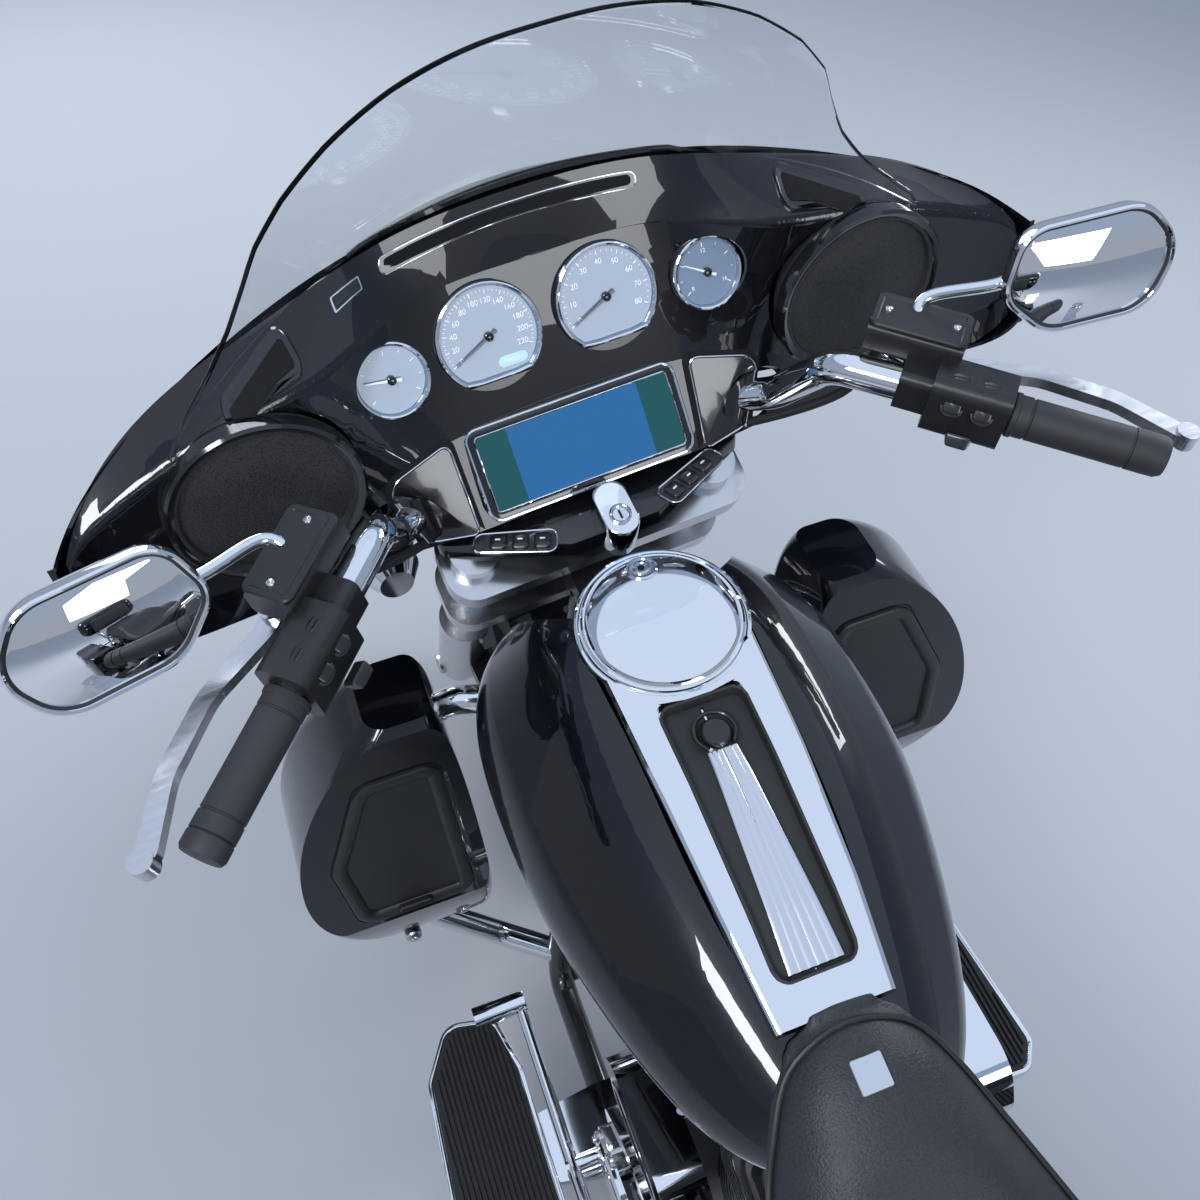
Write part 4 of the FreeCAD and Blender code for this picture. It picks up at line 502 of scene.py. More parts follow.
# Bolt circles of the wheels
# Dome bolts hold each disc to its carrier and the belt pulley to the rear hub, spaced evenly
# on circles, and the axle nuts close the ends of both axles.
def circle_spots(centre, y, radius, start=0.0, count=5):
    """Spots round an axle on a face at y, looking outwards."""
    spots = []
    for i in range(count):
        turn = start + math.tau * i / count
        spots.append((centre + Vector((math.cos(turn) * radius, y, math.sin(turn) * radius)),
                      (0, math.copysign(1, y), 0)))
    return spots


FRONT_DISC_Y, REAR_DISC_Y, PULLEY_Y = 75, -117, 136
DISC_BOLT_R, PULLEY_BOLT_R = 44, 52
bolts("front_disc_bolts", circle_spots(FRONT_AXLE, FRONT_DISC_Y, DISC_BOLT_R)
      + circle_spots(FRONT_AXLE, -FRONT_DISC_Y, DISC_BOLT_R), "front_wheel_set", "disc_steel", 1.1)
bolts("rear_disc_bolts", circle_spots(REAR_AXLE, REAR_DISC_Y, DISC_BOLT_R)
      + circle_spots(REAR_AXLE, PULLEY_Y, PULLEY_BOLT_R, 0.3), "rear_wheel_set", "disc_steel", 1.1)
for name, axle, half, body, size in (("front_axle_nuts", FRONT_AXLE, 156, "steering", 0.9),
                                     ("rear_axle_nuts", REAR_AXLE, 174, "root", 1.0)):
    bolts(name, [(axle + LEFT * (side * half), (0, side, 0)) for side, word in SIDES], body,
          "bright_chrome", size, NUT)


# Fork and handlebar
# Polished cast fork legs, and a thick chromed handlebar bent from one tube that steps down in
# width under the grips. The same chrome is on the mirrors.
fork_alloy = Finish("fork alloy", Metallic=1.0, Base_Color=(0.62, 0.62, 0.63))
fork_alloy.set(Roughness=fork_alloy.noise(18, 4, fork_alloy.stretched(1, 1, 12)) * 0.2 + 0.1)
fork_alloy.paint("fork")
bright_chrome = Finish("bright chrome", Metallic=1.0, Base_Color=(0.8, 0.81, 0.83))
bright_chrome.mottled(22, 5, 0.07, 0.015)
bright_chrome.paint("handlebar", "mirrors")


# Grips
# Soft black rubber sleeves over the bar ends, with a ringed collar at each end; the left one
# ends in a dial that turns in clicks, the right one in a plain rubber cap.
grip_rubber = Finish("grip rubber", Base_Color=(0.022, 0.022, 0.024))
grip_rubber.mottled(80, 3, 0.15, 0.52)
grip_rubber.grained(1500, 2, 0.0002, 0.5)
GRIP_START = Vector((1113, 322, 1035))
GRIP_END = Vector((1023, 414, 1018))
GRIP_DIR = (GRIP_END - GRIP_START).normalized()
GRIP_AHEAD = Vector((GRIP_DIR.y, -GRIP_DIR.x, 0)).normalized()
GRIP_UP = GRIP_AHEAD.cross(GRIP_DIR).normalized()
grip_length = (GRIP_END - GRIP_START).length
INNER_COLLAR = [(12.8, 0), (18.6, 0), (19.6, 1), (19.6, 5), (18.4, 6), (18.4, 15), (17.2, 15.8), (17.2, 17),
                (18.2, 17.8), (18, 60)]
OUTER_COLLAR = [(18, -30), (17.1, -29.4), (17.1, -28), (18.2, -27.4), (18.2, -14)]
GRIP_TIPS = {"left": [(16.8, -13.4), (16.8, -12.4), (18.4, -12), (18.4, -1), (16.5, 2.5), (0, 3.4)],
             "right": [(18, -3), (15.5, 2), (0, 3.2)]}
for side, word in SIDES:
    sleeve = INNER_COLLAR + [(r, grip_length + h) for r, h in OUTER_COLLAR + GRIP_TIPS[word]]
    put("grip_" + word, turned(sleeve, on_side(GRIP_START, side), on_side(GRIP_DIR, side), 48), "steering",
        grip_rubber, "grip_rubber", instead="grips")


# Switch housings and levers
# Split die-cast housings clamped round the bar, finished satin black, with moulded rockers and
# a turn paddle, and polished forged levers.
housing_black = Finish("housing black", Base_Color=(0.013, 0.013, 0.014))
housing_black.mottled(90, 3, 0.16, 0.28)
housing_black.grained(1300, 2, 0.00012, 0.5)
housing_black.paint("hand_controls")
rocker_black = Finish("rocker black", Base_Color=(0.01, 0.01, 0.011), Roughness=0.3, Coat_Weight=0.3)
rocker_black.grained(900, 2, 0.0001, 0.3)
mark_white = Finish("mark white", Base_Color=(0.75, 0.76, 0.78), Roughness=0.5)
lever_alloy = Finish("lever alloy", Metallic=1.0)
grind = lever_alloy.noise(40, 5, lever_alloy.stretched(6, 1, 1))
lever_alloy.set(Roughness=grind * 0.25 + 0.1,
                Base_Color=lever_alloy.mix(grind, (0.55, 0.55, 0.57), (0.78, 0.78, 0.8)))
lever_alloy.paint("levers")

FACE_TILT = math.radians(52)
FACE_MID = GRIP_START - GRIP_DIR * 36 - GRIP_AHEAD * 19 + GRIP_UP * 12
FACE_UP = GRIP_UP * math.sin(FACE_TILT) + GRIP_AHEAD * math.cos(FACE_TILT)
FACE_OUT = GRIP_UP * math.cos(FACE_TILT) - GRIP_AHEAD * math.sin(FACE_TILT)
ROCKER_UP = 6
for side, word in SIDES:
    def spot(across, up, out):
        """Place on the slanted switch face: along the bar, up the face, out of it."""
        return on_side(FACE_MID + GRIP_DIR * across + FACE_UP * up + FACE_OUT * out, side)

    for number, across in enumerate((-13, 13)):
        recess = box(across - 10, ROCKER_UP - 19, across + 10, ROCKER_UP + 19, 8)
        put("rocker_rim_%s_%d" % (word, number), plate(recess, spot, 1.4, 1.0, -3), "steering",
            housing_black, "control_black")
        for half, (low, high) in enumerate(((ROCKER_UP - 16, ROCKER_UP - 0.8),
                                            (ROCKER_UP + 0.8, ROCKER_UP + 16))):
            key = box(across - 7.5, low, across + 7.5, high, 4)
            put("rocker_%s_%d_%d" % (word, number, half), plate(key, spot, 4.2, 1.6, 0), "steering",
                rocker_black, "control_black")
    paddle = outline([(-9, -36), (9, -36), (12, -24), (-12, -24)], 3)
    put("turn_paddle_" + word, plate(paddle, spot, 9, 2.0, -4), "steering", rocker_black, "control_black")


# Mirrors
# Two rounded mirror heads of chromed metal on bent stems, each with a silvered glass set in a
# thin dark gasket. The stems are screwed into the lever perches.
mirror_silver = Finish("mirror silver", Metallic=1.0, Base_Color=(0.88, 0.89, 0.91), Roughness=0.012)
mirror_silver.paint("mirror_glass")
mirror_black = Finish("mirror gasket", Base_Color=(0.015, 0.015, 0.016), Roughness=0.5)
MIRROR_TILT = math.radians(16)
MIRROR_MID = Vector((1161, 417, 1117))
MIRROR_OUT = Vector((-math.cos(MIRROR_TILT), -0.2, math.sin(MIRROR_TILT))).normalized()
MIRROR_ALONG = MIRROR_OUT.cross(UP).normalized()
MIRROR_UP = MIRROR_ALONG.cross(MIRROR_OUT)
MIRROR_SHAPE = outline([(-74, -10), (-34, -48), (58, -44), (80, 8), (46, 48), (-58, 43)],
                       [26, 40, 36, 40, 38, 28], 10)
HEAD_STEPS = [(1.2, -1.5), (0.2, 1.4), (-1.6, 2.2), (-3.4, 0.8), (-4.2, -4), (-3, -11), (3, -19),
              (12, -26), (26, -31), (36, -32.5)]
SILVER_STEPS = [(2.4, -3.4), (2.4, -1.2), (3, -0.8)]
GASKET_STEPS = [(0.2, -2), (0.2, -0.4), (1.4, 0.1), (2.9, -0.7), (2.9, -2)]
STEM_FOOT = GRIP_START - GRIP_DIR * 84 + GRIP_AHEAD * 20 + Vector((0, 0, 14))
STEM_ROUTE = [STEM_FOOT, STEM_FOOT + Vector((10, 2, 18)), STEM_FOOT + Vector((34, 20, 34)),
              MIRROR_MID + Vector((34, -66, -12)), MIRROR_MID + Vector((26, -22, -2))]
STEM_NUT = [(0, -8), (10, -8), (10, 0), (8, 2), (8, 9), (6.6, 10), (0, 10)]
for side, word in SIDES:
    def spot(along, up, out):
        return on_side(MIRROR_MID + MIRROR_ALONG * along + MIRROR_UP * up + MIRROR_OUT * out, side)

    put("mirror_head_" + word, contour(MIRROR_SHAPE, spot, HEAD_STEPS), "steering", bright_chrome,
        "bright_chrome", instead="mirrors")
    put("mirror_silver_" + word, contour(MIRROR_SHAPE, spot, SILVER_STEPS), "steering", mirror_silver,
        "mirror_glass", instead="mirror_glass")
    put("mirror_gasket_" + word, contour(MIRROR_SHAPE, spot, GASKET_STEPS, False), "steering",
        mirror_black, "control_black")
    stem = rope([on_side(p, side) for p in STEM_ROUTE], [6.5, 6.2, 5.8, 5.6, 7.5], 16, 8)
    put("mirror_stem_" + word, stem, "steering", bright_chrome, "bright_chrome")
    put("mirror_nut_" + word, turned(STEM_NUT, on_side(STEM_FOOT, side), (0.1, 0, 1), 24), "steering",
        bright_chrome, "bright_chrome")


# Fairing and paint
# The fairing, its dash panel, fenders, tank and luggage are painted gloss black under a clear coat.
paint_black = Finish("black paint", Base_Color=(0.0022, 0.0026, 0.005), Coat_Weight=1.0,
                     Coat_Roughness=0.015, Specular_IOR_Level=0.12)
paint_black.mottled(5, 3, 0.2, 0.2)
paint_black.grained(420, 1, 0.00002, 0.12)
paint_black.paint("outer_fairing", "inner_fairing", "front_fender", "rear_fender", "fuel_tank",
                  "saddlebag_left", "saddlebag_right", "bag_lid_left", "bag_lid_right", "trunk_base",
                  "trunk_lid", "side_covers", "lower_fairing_left", "lower_fairing_right")


# Gauges
# Four dial gauges in the dash, each with a thin chromed bezel whose lower edge is cut flat on
# the two large ones, a printed dial, raised figures and a needle on a black boss.
dial_face = Finish("dial face", Base_Color=(0.17, 0.24, 0.34), Roughness=0.45, Coat_Weight=1.0,
                   Coat_Roughness=0.02)
dial_print = Finish("dial print", Base_Color=(0.88, 0.92, 0.96), Roughness=0.5, Coat_Weight=0.6)
dial_mark = Finish("dial mark", Base_Color=(0.03, 0.035, 0.045), Roughness=0.5, Coat_Weight=0.6)
dial_window = Finish("dial window", Base_Color=(0.45, 0.62, 0.66), Roughness=0.25,
                     Emission_Color=(0.5, 0.72, 0.78), Emission_Strength=0.25)
gloss_black = Finish("gloss black", Base_Color=(0.006, 0.006, 0.007), Roughness=0.12, Coat_Weight=0.6,
                     Coat_Roughness=0.03)
GAUGE_UP, GAUGE_OUT = tilted(24)
BEZEL_STEPS = [(-1.5, -2), (-1.5, 5.5), (-0.7, 7.4), (0.6, 8.2), (2, 7.6), (2.9, 5.5), (3.2, 1)]
DIAL_STEPS = [(3, 0.6), (3, 2.6), (3.4, 3)]
TICK_STEPS = [(0, 2.8), (0, 3.3)]
NEEDLE_STEPS = [(0, 5), (0, 5.8)]
BOSS = [(0, 2.8), (4, 2.8), (4, 6.4), (2.8, 7.2), (0, 7.2)]
FIGURE_LIFT = 3.1
FIGURE_THICK = 0.25


def figures(words, height, spot, x, y):
    """Mesh of raised figures, centred at (x, y) of a face."""
    curve = bpy.data.curves.new("figures", "FONT")
    curve.body = words
    curve.size = height * 1.36
    curve.align_x = "CENTER"
    curve.align_y = "CENTER"
    curve.extrude = FIGURE_THICK
    holder = bpy.data.objects.new("figures", curve)
    add(holder)
    mesh = worked_mesh(holder)
    bpy.data.objects.remove(holder)
    for vertex in mesh.vertices:
        vertex.co = spot(x + vertex.co.x, y + vertex.co.y, FIGURE_LIFT + vertex.co.z)
    return mesh


def gauge(word, centre, radius, cut, numbers, sweep, needle_at):
    """A gauge cut flat at a share of its radius below the middle; returns its spot function."""
    centre = Vector(centre)

    def spot(x, y, lift):
        return centre + RIGHT * x + GAUGE_UP * y + GAUGE_OUT * lift

    round_shape = [Vector(on_circle(360 * i / 72, radius)) for i in range(72)]
    level = -radius * cut
    shape = [Vector((p.x if p.y >= level else max(-1, min(1, p.x / radius)) * radius * 0.9,
                     max(p.y, level))) for p in round_shape]
    shape = [p if p.y > level else Vector((p.x * 0.7, level)) for p in shape]
    shape = [p for i, p in enumerate(shape) if (p - shape[i - 1]).length > 0.6]
    put("bezel_" + word, contour(shape, spot, BEZEL_STEPS, False), "steering", bright_chrome,
        "bright_chrome", instead="gauges")
    put("dial_" + word, contour(shape, spot, DIAL_STEPS), "steering", dial_face, "gauge_dial")
    if cut < 1:
        chord = math.sqrt(radius ** 2 - level ** 2)
        bowl = [Vector((x, level - 1.2)) for x in (chord + 1, -chord - 1)]
        start, end = math.degrees(math.atan2(level, -chord)), math.degrees(math.atan2(level, chord))
        bowl += [Vector(on_circle(start + (end - start) * i / 12, radius + 1.2)) for i in range(1, 12)]
        put("bezel_fill_" + word, contour(bowl, spot, [(0, -3), (0, 3.6), (0.8, 4.4)]), "steering",
            rocker_black, "black_gloss")
    large = radius > 40
    between, figure_inset, figure_tall = (4, 16, 5.2) if large else (2, 13.5, 4.0)
    first, last = sweep
    marks = []
    count = (len(numbers) - 1) * between
    outer = radius - 6.2
    for i in range(count + 1):
        turn = first + (last - first) * i / count
        long, wide = (4, 0.42) if i % between == 0 else (2.2, 0.25)
        tick = strip(on_circle(turn, outer), on_circle(turn, outer - long), wide, wide)
        marks.append(contour(tick, spot, TICK_STEPS))
    for i, words in enumerate(numbers):
        x, y = on_circle(first + (last - first) * i / (len(numbers) - 1), radius - figure_inset)
        if words:
            marks.append(figures(words, figure_tall, spot, x, y))
    put("figures_" + word, merged(marks), "steering", dial_print, "gauge_dial", smooth=30)
    tip, tail = on_circle(needle_at, radius - 9), on_circle(needle_at + 180, 9)
    put("needle_" + word, contour(strip(tail, tip, 1.5, 0.45), spot, NEEDLE_STEPS), "steering",
        dial_mark if large else dial_print, "gauge_dial", smooth=30)
    put("boss_" + word, turned(BOSS, centre, GAUGE_OUT, 24), "steering", gloss_black, "black_gloss")
    return spot


speed = gauge("speed", (1366, 57, 1090), 48, 0.8, [str(n) for n in range(0, 221, 20)], (205, -25), 205)
put("trip_window", contour(box(2, -31, 30, -21, 4.9), speed, [(0, 2.8), (0, 3.6), (0.5, 3.8)]),
    "steering", dial_window, "gauge_dial")
gauge("revs", (1366, -57, 1090), 48, 0.8, [str(n) for n in range(0, 81, 10)], (205, -25), 205)
gauge("fuel", (1353, 152, 1090), 33, 1.1, ["", "", "", "", ""], (215, -35), 170)
gauge("volts", (1353, -152, 1090), 33, 1.1, ["8", "", "12", "", "16"], (215, -35), 150)


# Screen
# A wide touch screen in the middle of the dash: a bright edge strip round a black frame, and a
# display lit blue in the middle with dark green side bars. It shows no words or symbols.
SCREEN_UP, SCREEN_OUT = tilted(38)
SCREEN_MID = Vector((1318, 0, 976))
SCREEN_SHAPE = box(-106, -45, 106, 45, 13, 8)
MIDDLE_HALF = 0.066


def screen_spot(x, y, lift):
    return SCREEN_MID + RIGHT * x + SCREEN_UP * y + SCREEN_OUT * lift


display = Finish("display", Base_Color=(0.0, 0.0, 0.0), Roughness=0.06, Coat_Weight=1.0,
                 Coat_Roughness=0.01)
screen_right = (steered.to_3x3() @ RIGHT).normalized()
from_middle = display.node("ShaderNodeVectorMath", {"operation": "SUBTRACT"},
                           [display.place, tuple(steered @ SCREEN_MID)])
sideways = display.node("ShaderNodeVectorMath", {"operation": "DOT_PRODUCT"},
                        [from_middle, tuple(screen_right)], "Value")
away = display.node("ShaderNodeMath", {"operation": "ABSOLUTE"}, [sideways])
display.set(Emission_Color=display.mix(away > MIDDLE_HALF, (0.012, 0.13, 0.36), (0.0, 0.075, 0.085)),
            Emission_Strength=1.0)
put("screen_frame", contour(SCREEN_SHAPE, screen_spot, [(0, -24), (0, 9), (1, 11.5), (3.2, 12.4),
                                                        (8, 12.4), (9, 11.6), (9, 9)]),
    "steering", gloss_black, "screen_gloss", instead="screen_unit")
for name, steps in (("screen_edge", [(-0.4, 6), (-0.4, 11.6), (0.6, 12.9), (2, 13.1), (3, 12)]),
                    ("screen_line", [(8.2, 11), (8.2, 13), (8.9, 13.4), (9.6, 12.8), (9.6, 11)])):
    put(name, contour(SCREEN_SHAPE, screen_spot, steps, False), "steering", bright_chrome, "bright_chrome")
put("screen_display", contour(SCREEN_SHAPE, screen_spot, [(9.2, 9), (9.2, 11.4), (9.6, 11.8)]),
    "steering", display, "screen_gloss")


# Dash trim
# Gloss side panels with bright edge lines beside the screen, a long air slot with bright edges
# and a small push button on the top shelf, and angled air inlets on the shoulders. The panel gaps,
# the slot's opening and the inlet mouths are near-black sheets of painted shade laid on the dash.
dash = surface("inner_fairing", "steering")
# Near-black matt finish of painted shade: it stands in for the shade inside openings, gaps and keyholes.
painted_shade_black = Finish("painted shade black", Base_Color=(0.002, 0.002, 0.002), Roughness=0.9)
line_silver = Finish("line silver", Metallic=1.0, Base_Color=(0.7, 0.72, 0.76), Roughness=0.16)
BEHIND_DASH = 1000


def dropped(points, lift):
    """Points of a flat outline dropped on the dash from behind, and lifted off it."""
    row = []
    for p in points:
        place, normal = met(dash, Vector((BEHIND_DASH, p.x, p.y)), AHEAD)
        row.append(place + normal * lift)
    return row


def laid(shape, steps):
    """Trim lying on the dash: an outline with stepped edges, closed by smaller and smaller ones."""
    middle = sum(shape, Vector((0, 0))) / len(shape)
    rings = [(drawn_in(shape, inset), lift) for inset, lift in steps]
    last, top = rings[-1]
    rings += [([middle + (p - middle) * share for p in last], top) for share in (0.8, 0.55, 0.3, 0.06)]
    return lattice([dropped(points, lift) for points, lift in rings], capped=True)


def rim_height(y):
    """Height of the dash's curved rim at a side offset."""
    return 1200 - 10 * (y / 130) ** 2


def shelf_line(y_from, y_to, below, tall):
    """Long flat outline that follows the curved rim of the dash."""
    spots = [y_from + (y_to - y_from) * i / 12 for i in range(13)]
    lower = [Vector((y, rim_height(y) - below - tall)) for y in spots]
    upper = [Vector((y, rim_height(y) - below)) for y in reversed(spots)]
    end = [tall * 0.45]
    straight = [0] * 11
    return outline(lower + upper, end + straight + end * 2 + straight + end, 4)


for side, word in SIDES:
    panel = outline([(side * 118, 936), (side * 166, 942), (side * 190, 1004), (side * 122, 1018)],
                    [6, 14, 16, 8], 5)
    put("side_panel_" + word, laid(panel, [(0, -1), (0, 3), (1.2, 4.2)]), "steering", gloss_black,
        "black_gloss")
    brim = [dropped(drawn_in(panel, inset), lift)
            for inset, lift in ((-1.2, 0), (-1.2, 4.2), (-0.3, 4.7), (0.4, 4))]
    put("side_panel_line_" + word, lattice(brim), "steering", line_silver, "bright_chrome")
    groove = outline([(side * 112, 930), (side * 172, 936), (side * 196, 1008), (side * 116, 1024)],
                     [8, 16, 18, 10], 5)
    # The gap round each panel is a dark strip of painted shade.
    put("side_panel_gap_" + word, laid(groove, [(0, -2), (0, 0.5)]), "steering", painted_shade_black, "black_gloss")

for name, shape, steps, finish, slot in (
        ("air_slot_border", (-106, 132, 9, 14), [(0, 0.5), (0.4, 0.8)], line_silver, "bright_chrome"),
        ("air_slot_lip", (-105, 131, 9.8, 12.4), [(0, 0.95)], gloss_black, "black_gloss"),
        # The slot's opening is a near-black sheet of painted shade.
        ("air_slot", (-101, 127, 11.5, 8.6), [(0, 1.15)], painted_shade_black, "black_gloss"),
        ("shelf_button_rim", (150.6, 179.4, 11.2, 9.2), [(0, 0.8)], line_silver, "bright_chrome"),
        ("shelf_button", (152, 178, 12, 7.6), [(0, 1.8), (1, 2.6)], rocker_black, "control_black")):
    put(name, laid(shelf_line(*shape), [(0, -1)] + steps), "steering", finish, slot)

for side, word in SIDES:
    inlet = outline([(side * 222, 1146), (side * 286, 1122), (side * 290, 1142), (side * 226, 1166)], 6, 5)
    put("inlet_" + word, laid(inlet, [(-3, -1), (-3, 2), (-1.5, 4), (0, 3)]), "steering", gloss_black,
        "black_gloss")
    # The inlet's mouth is a near-black sheet of painted shade.
    put("inlet_mouth_" + word, laid(drawn_in(inlet, 3), [(0, 2), (0, 3.6)]), "steering", painted_shade_black,
        "black_gloss")


# Speakers
# Round loudspeaker grilles of stamped, perforated steel, coated matt black, in gloss rings; the holes are
# painted shade.
grille_black = Finish("speaker grille", Roughness=0.6)
holes_with_painted_shade = grille_black.cells(420)
# The holes are painted near-black as painted shade of the cavity behind the grille; the same cells also
# bump the surface.
grille_black.set(Base_Color=grille_black.mix(holes_with_painted_shade < 0.3, (0.022, 0.022, 0.023), (0.001, 0.001, 0.001)))
grille_black.bump(holes_with_painted_shade, 0.0006, 0.6)
grille_black.paint("speakers")
SPEAKER_MID = Vector((1306, 286, 1052))
SPEAKER_RING = [(74, -4), (84.5, -4), (85, 9), (82.5, 11.5), (78, 10), (75, 6.5)]
for side, word in SIDES:
    put("speaker_ring_" + word, turned(SPEAKER_RING, on_side(SPEAKER_MID, side), REARWARD, 72), "steering",
        gloss_black, "black_gloss")


# Ignition switch and button strips
# A chromed switch post with a round lock in its flat top stands on a gloss black wing below the
# screen, and three rounded rocker buttons sit in a bright framed strip at each side of it.
strip_satin = Finish("strip satin", Metallic=0.6, Base_Color=(0.07, 0.072, 0.078), Roughness=0.3,
                     Coat_Weight=0.4)
WING = outline([(44, -1240), (158, -1296), (158, -1318), (-158, -1318), (-158, -1296), (-44, -1240)],
               [14, 12, 8, 8, 12, 14], 6)
WING_UNDER = 914
LOCK_TOP = Vector((1236, 0, 964))
LOCK_UP = Vector((-0.3, 0, 1)).normalized()
LOCK_AHEAD = Vector((1, 0, 0.3)).normalized()


def wing_spot(x, y, lift):
    return Vector((-y, x, WING_UNDER + lift))


def lock_spot(x, y, lift):
    return LOCK_TOP + LEFT * x + LOCK_AHEAD * y + LOCK_UP * lift


put("switch_wing", contour(WING, wing_spot, [(0, 0), (0, 13.5), (0.8, 15.4), (2.4, 16)]), "steering",
    gloss_black, "black_gloss", instead="ignition_switch")
put("switch_post", contour(box(-17, -30, 17, 28, 17, 12), lock_spot,
                           [(1, -48), (0, -44), (0, -3), (0.8, -1), (2.6, 0), (4, 0.2)]),
    "steering", bright_chrome, "bright_chrome")
LOCK_RINGS = [(0, 0), (10.5, 0), (10.5, 2.4), (9, 3.4), (7.6, 2.6), (6.8, 1.6), (0, 1.6)]
put("switch_lock", turned(LOCK_RINGS, lock_spot(0, -10, 0), LOCK_UP, 40), "steering", line_silver,
    "bright_chrome")
# The keyway is a near-black sliver of painted shade.
put("switch_keyway", contour(box(-1, -14.5, 1, -5.5, 0), lock_spot, [(0, 1.4), (0, 1.9)]), "steering",
    painted_shade_black, "black_gloss")
STRIP = outline([(-30, -13), (48, -11), (48, 11), (-30, 15)], 8)
STRIP_RIM = [(-1, 0), (-1, 2.4), (-0.2, 3), (0.8, 2.4)]
KEY_STEPS = [(0, 1), (0, 5), (1.6, 6.4), (4, 6.8)]
for side, word in SIDES:
    def strip_spot(x, y, lift):
        """Along the strip, forward, up."""
        root = Vector((1262, side * 84, 930))
        along = Vector((0.42, side * 0.907, 0))
        forward = Vector((0.907, side * -0.42, 0))
        return root + along * x + forward * y + UP * lift

    put("button_strip_" + word, contour(STRIP, strip_spot, [(0, -2), (0, 1.6), (0.8, 2.4)]), "steering",
        strip_satin, "control_black")
    put("button_rim_" + word, contour(STRIP, strip_spot, STRIP_RIM, False), "steering", line_silver,
        "bright_chrome")
    for number, at in enumerate((-17, 4, 25)):
        key = box(at - 8, -9, at + 8, 9, 4)
        put("button_%s_%d" % (word, number), contour(key, strip_spot, KEY_STEPS), "steering", rocker_black,
            "control_black")
        dot = box(at - 2.6, -1, at + 2.6, 1, 0.9, 3)
        put("button_mark_%s_%d" % (word, number), contour(dot, strip_spot, [(0, 6.4), (0, 7.1)]),
            "steering", mark_white, "control_black")


# Console and fuel door
# The pressed and chromed strip down the tank has a rubber tray sunk in it with a ribbed bright
# runner and a round screw cap; it runs up to the ring of the domed fuel door, which has a lock.
CONSOLE_LINE = [(772, 50, 882), (850, 58, 908), (960, 66, 932), (1080, 72, 944), (1150, 66, 946),
                (1186, 40, 940)]
CONSOLE_REAR, CONSOLE_FRONT = 772, 1036
RING_REACH = 75
TRAY_DEEP = 8.5
TRAY_REAR, TRAY_FRONT, TRAY_CORNER = 800, 1030, 12
DOOR_MID = Vector((1110, 0, 944))
DOOR_UP = Vector((-math.sin(math.radians(5)), 0, math.cos(math.radians(5))))


def console_at(x):
    """Half width and height of the console at a station."""
    for (xa, ha, za), (xb, hb, zb) in zip(CONSOLE_LINE, CONSOLE_LINE[1:]):
        if x <= xb:
            t = (x - xa) / (xb - xa)
            return ha + (hb - ha) * t, za + (zb - za) * t
    return CONSOLE_LINE[-1][1:]


def tray_half(x):
    """Half width of the tray's opening at a station, nothing outside it."""
    if x <= TRAY_REAR or x >= TRAY_FRONT:
        return 0.01
    full = 34 + (x - TRAY_REAR) / (TRAY_FRONT - TRAY_REAR) * 4
    near = min(x - TRAY_REAR, TRAY_FRONT - x)
    if near >= TRAY_CORNER:
        return full
    return full - TRAY_CORNER + math.sqrt(max(TRAY_CORNER ** 2 - (TRAY_CORNER - near) ** 2, 0))


rows = []
steps = [0, 0.02, 0.06, 0.09, 0.1, 0.101, 0.104, 0.11, 0.12, 0.135, 0.15]
steps += [0.15 + 0.73 * i / 24 for i in range(1, 24)]
steps += [0.9, 0.92, 0.935, 0.948, 0.958, 0.963, 0.967, 0.97, 0.98, 1]
for s in steps:
    x = CONSOLE_REAR + s * (CONSOLE_FRONT - CONSOLE_REAR)
    half = console_at(x)[0]
    inside = tray_half(x)
    deep = TRAY_DEEP + 2 if inside > 1 else 0
    section = [(-half, -34), (-half, -7), (-half + 1.2, -2.6), (-half + 4, -0.5), (-half + 8, 0),
               (-inside - 2, 0), (-inside, -min(deep, 0.8)), (-inside + min(deep, 0.4), -deep), (0, -deep)]
    section += [(-y, z) for y, z in reversed(section[:-1])]
    row = []
    for y, z in section:
        arc = DOOR_MID.x - math.sqrt(max(RING_REACH ** 2 - y ** 2, 0))
        reach = x + s * (arc - CONSOLE_FRONT)
        row.append(Vector((reach, y, console_at(reach)[1] + z)))
    rows.append(row)
put("console_strip", lattice(rows, capped=True), "root", bright_chrome, "bright_chrome", smooth=30,
    instead="tank_console")
DOOR_RING = [(46.5, -34), (77, -34), (77, 0), (76.2, 1.8), (74.6, 2.4), (73, 1.4), (72.7, -1), (72.7, -6),
             (46.5, -6), (46.5, -34)]
put("door_ring", turned(DOOR_RING, DOOR_MID, DOOR_UP, 96), "root", bright_chrome, "bright_chrome",
    smooth=40)
tray_rubber = Finish("tray rubber", Base_Color=(0.016, 0.016, 0.017), Roughness=0.62)
tray_rubber.grained(1400, 2, 0.0002, 0.5)


def tray_spot(x, y, lift):
    """Place over the tray: outline x runs rearward to forward, y to the left."""
    return Vector((x, y, console_at(x)[1] + lift))


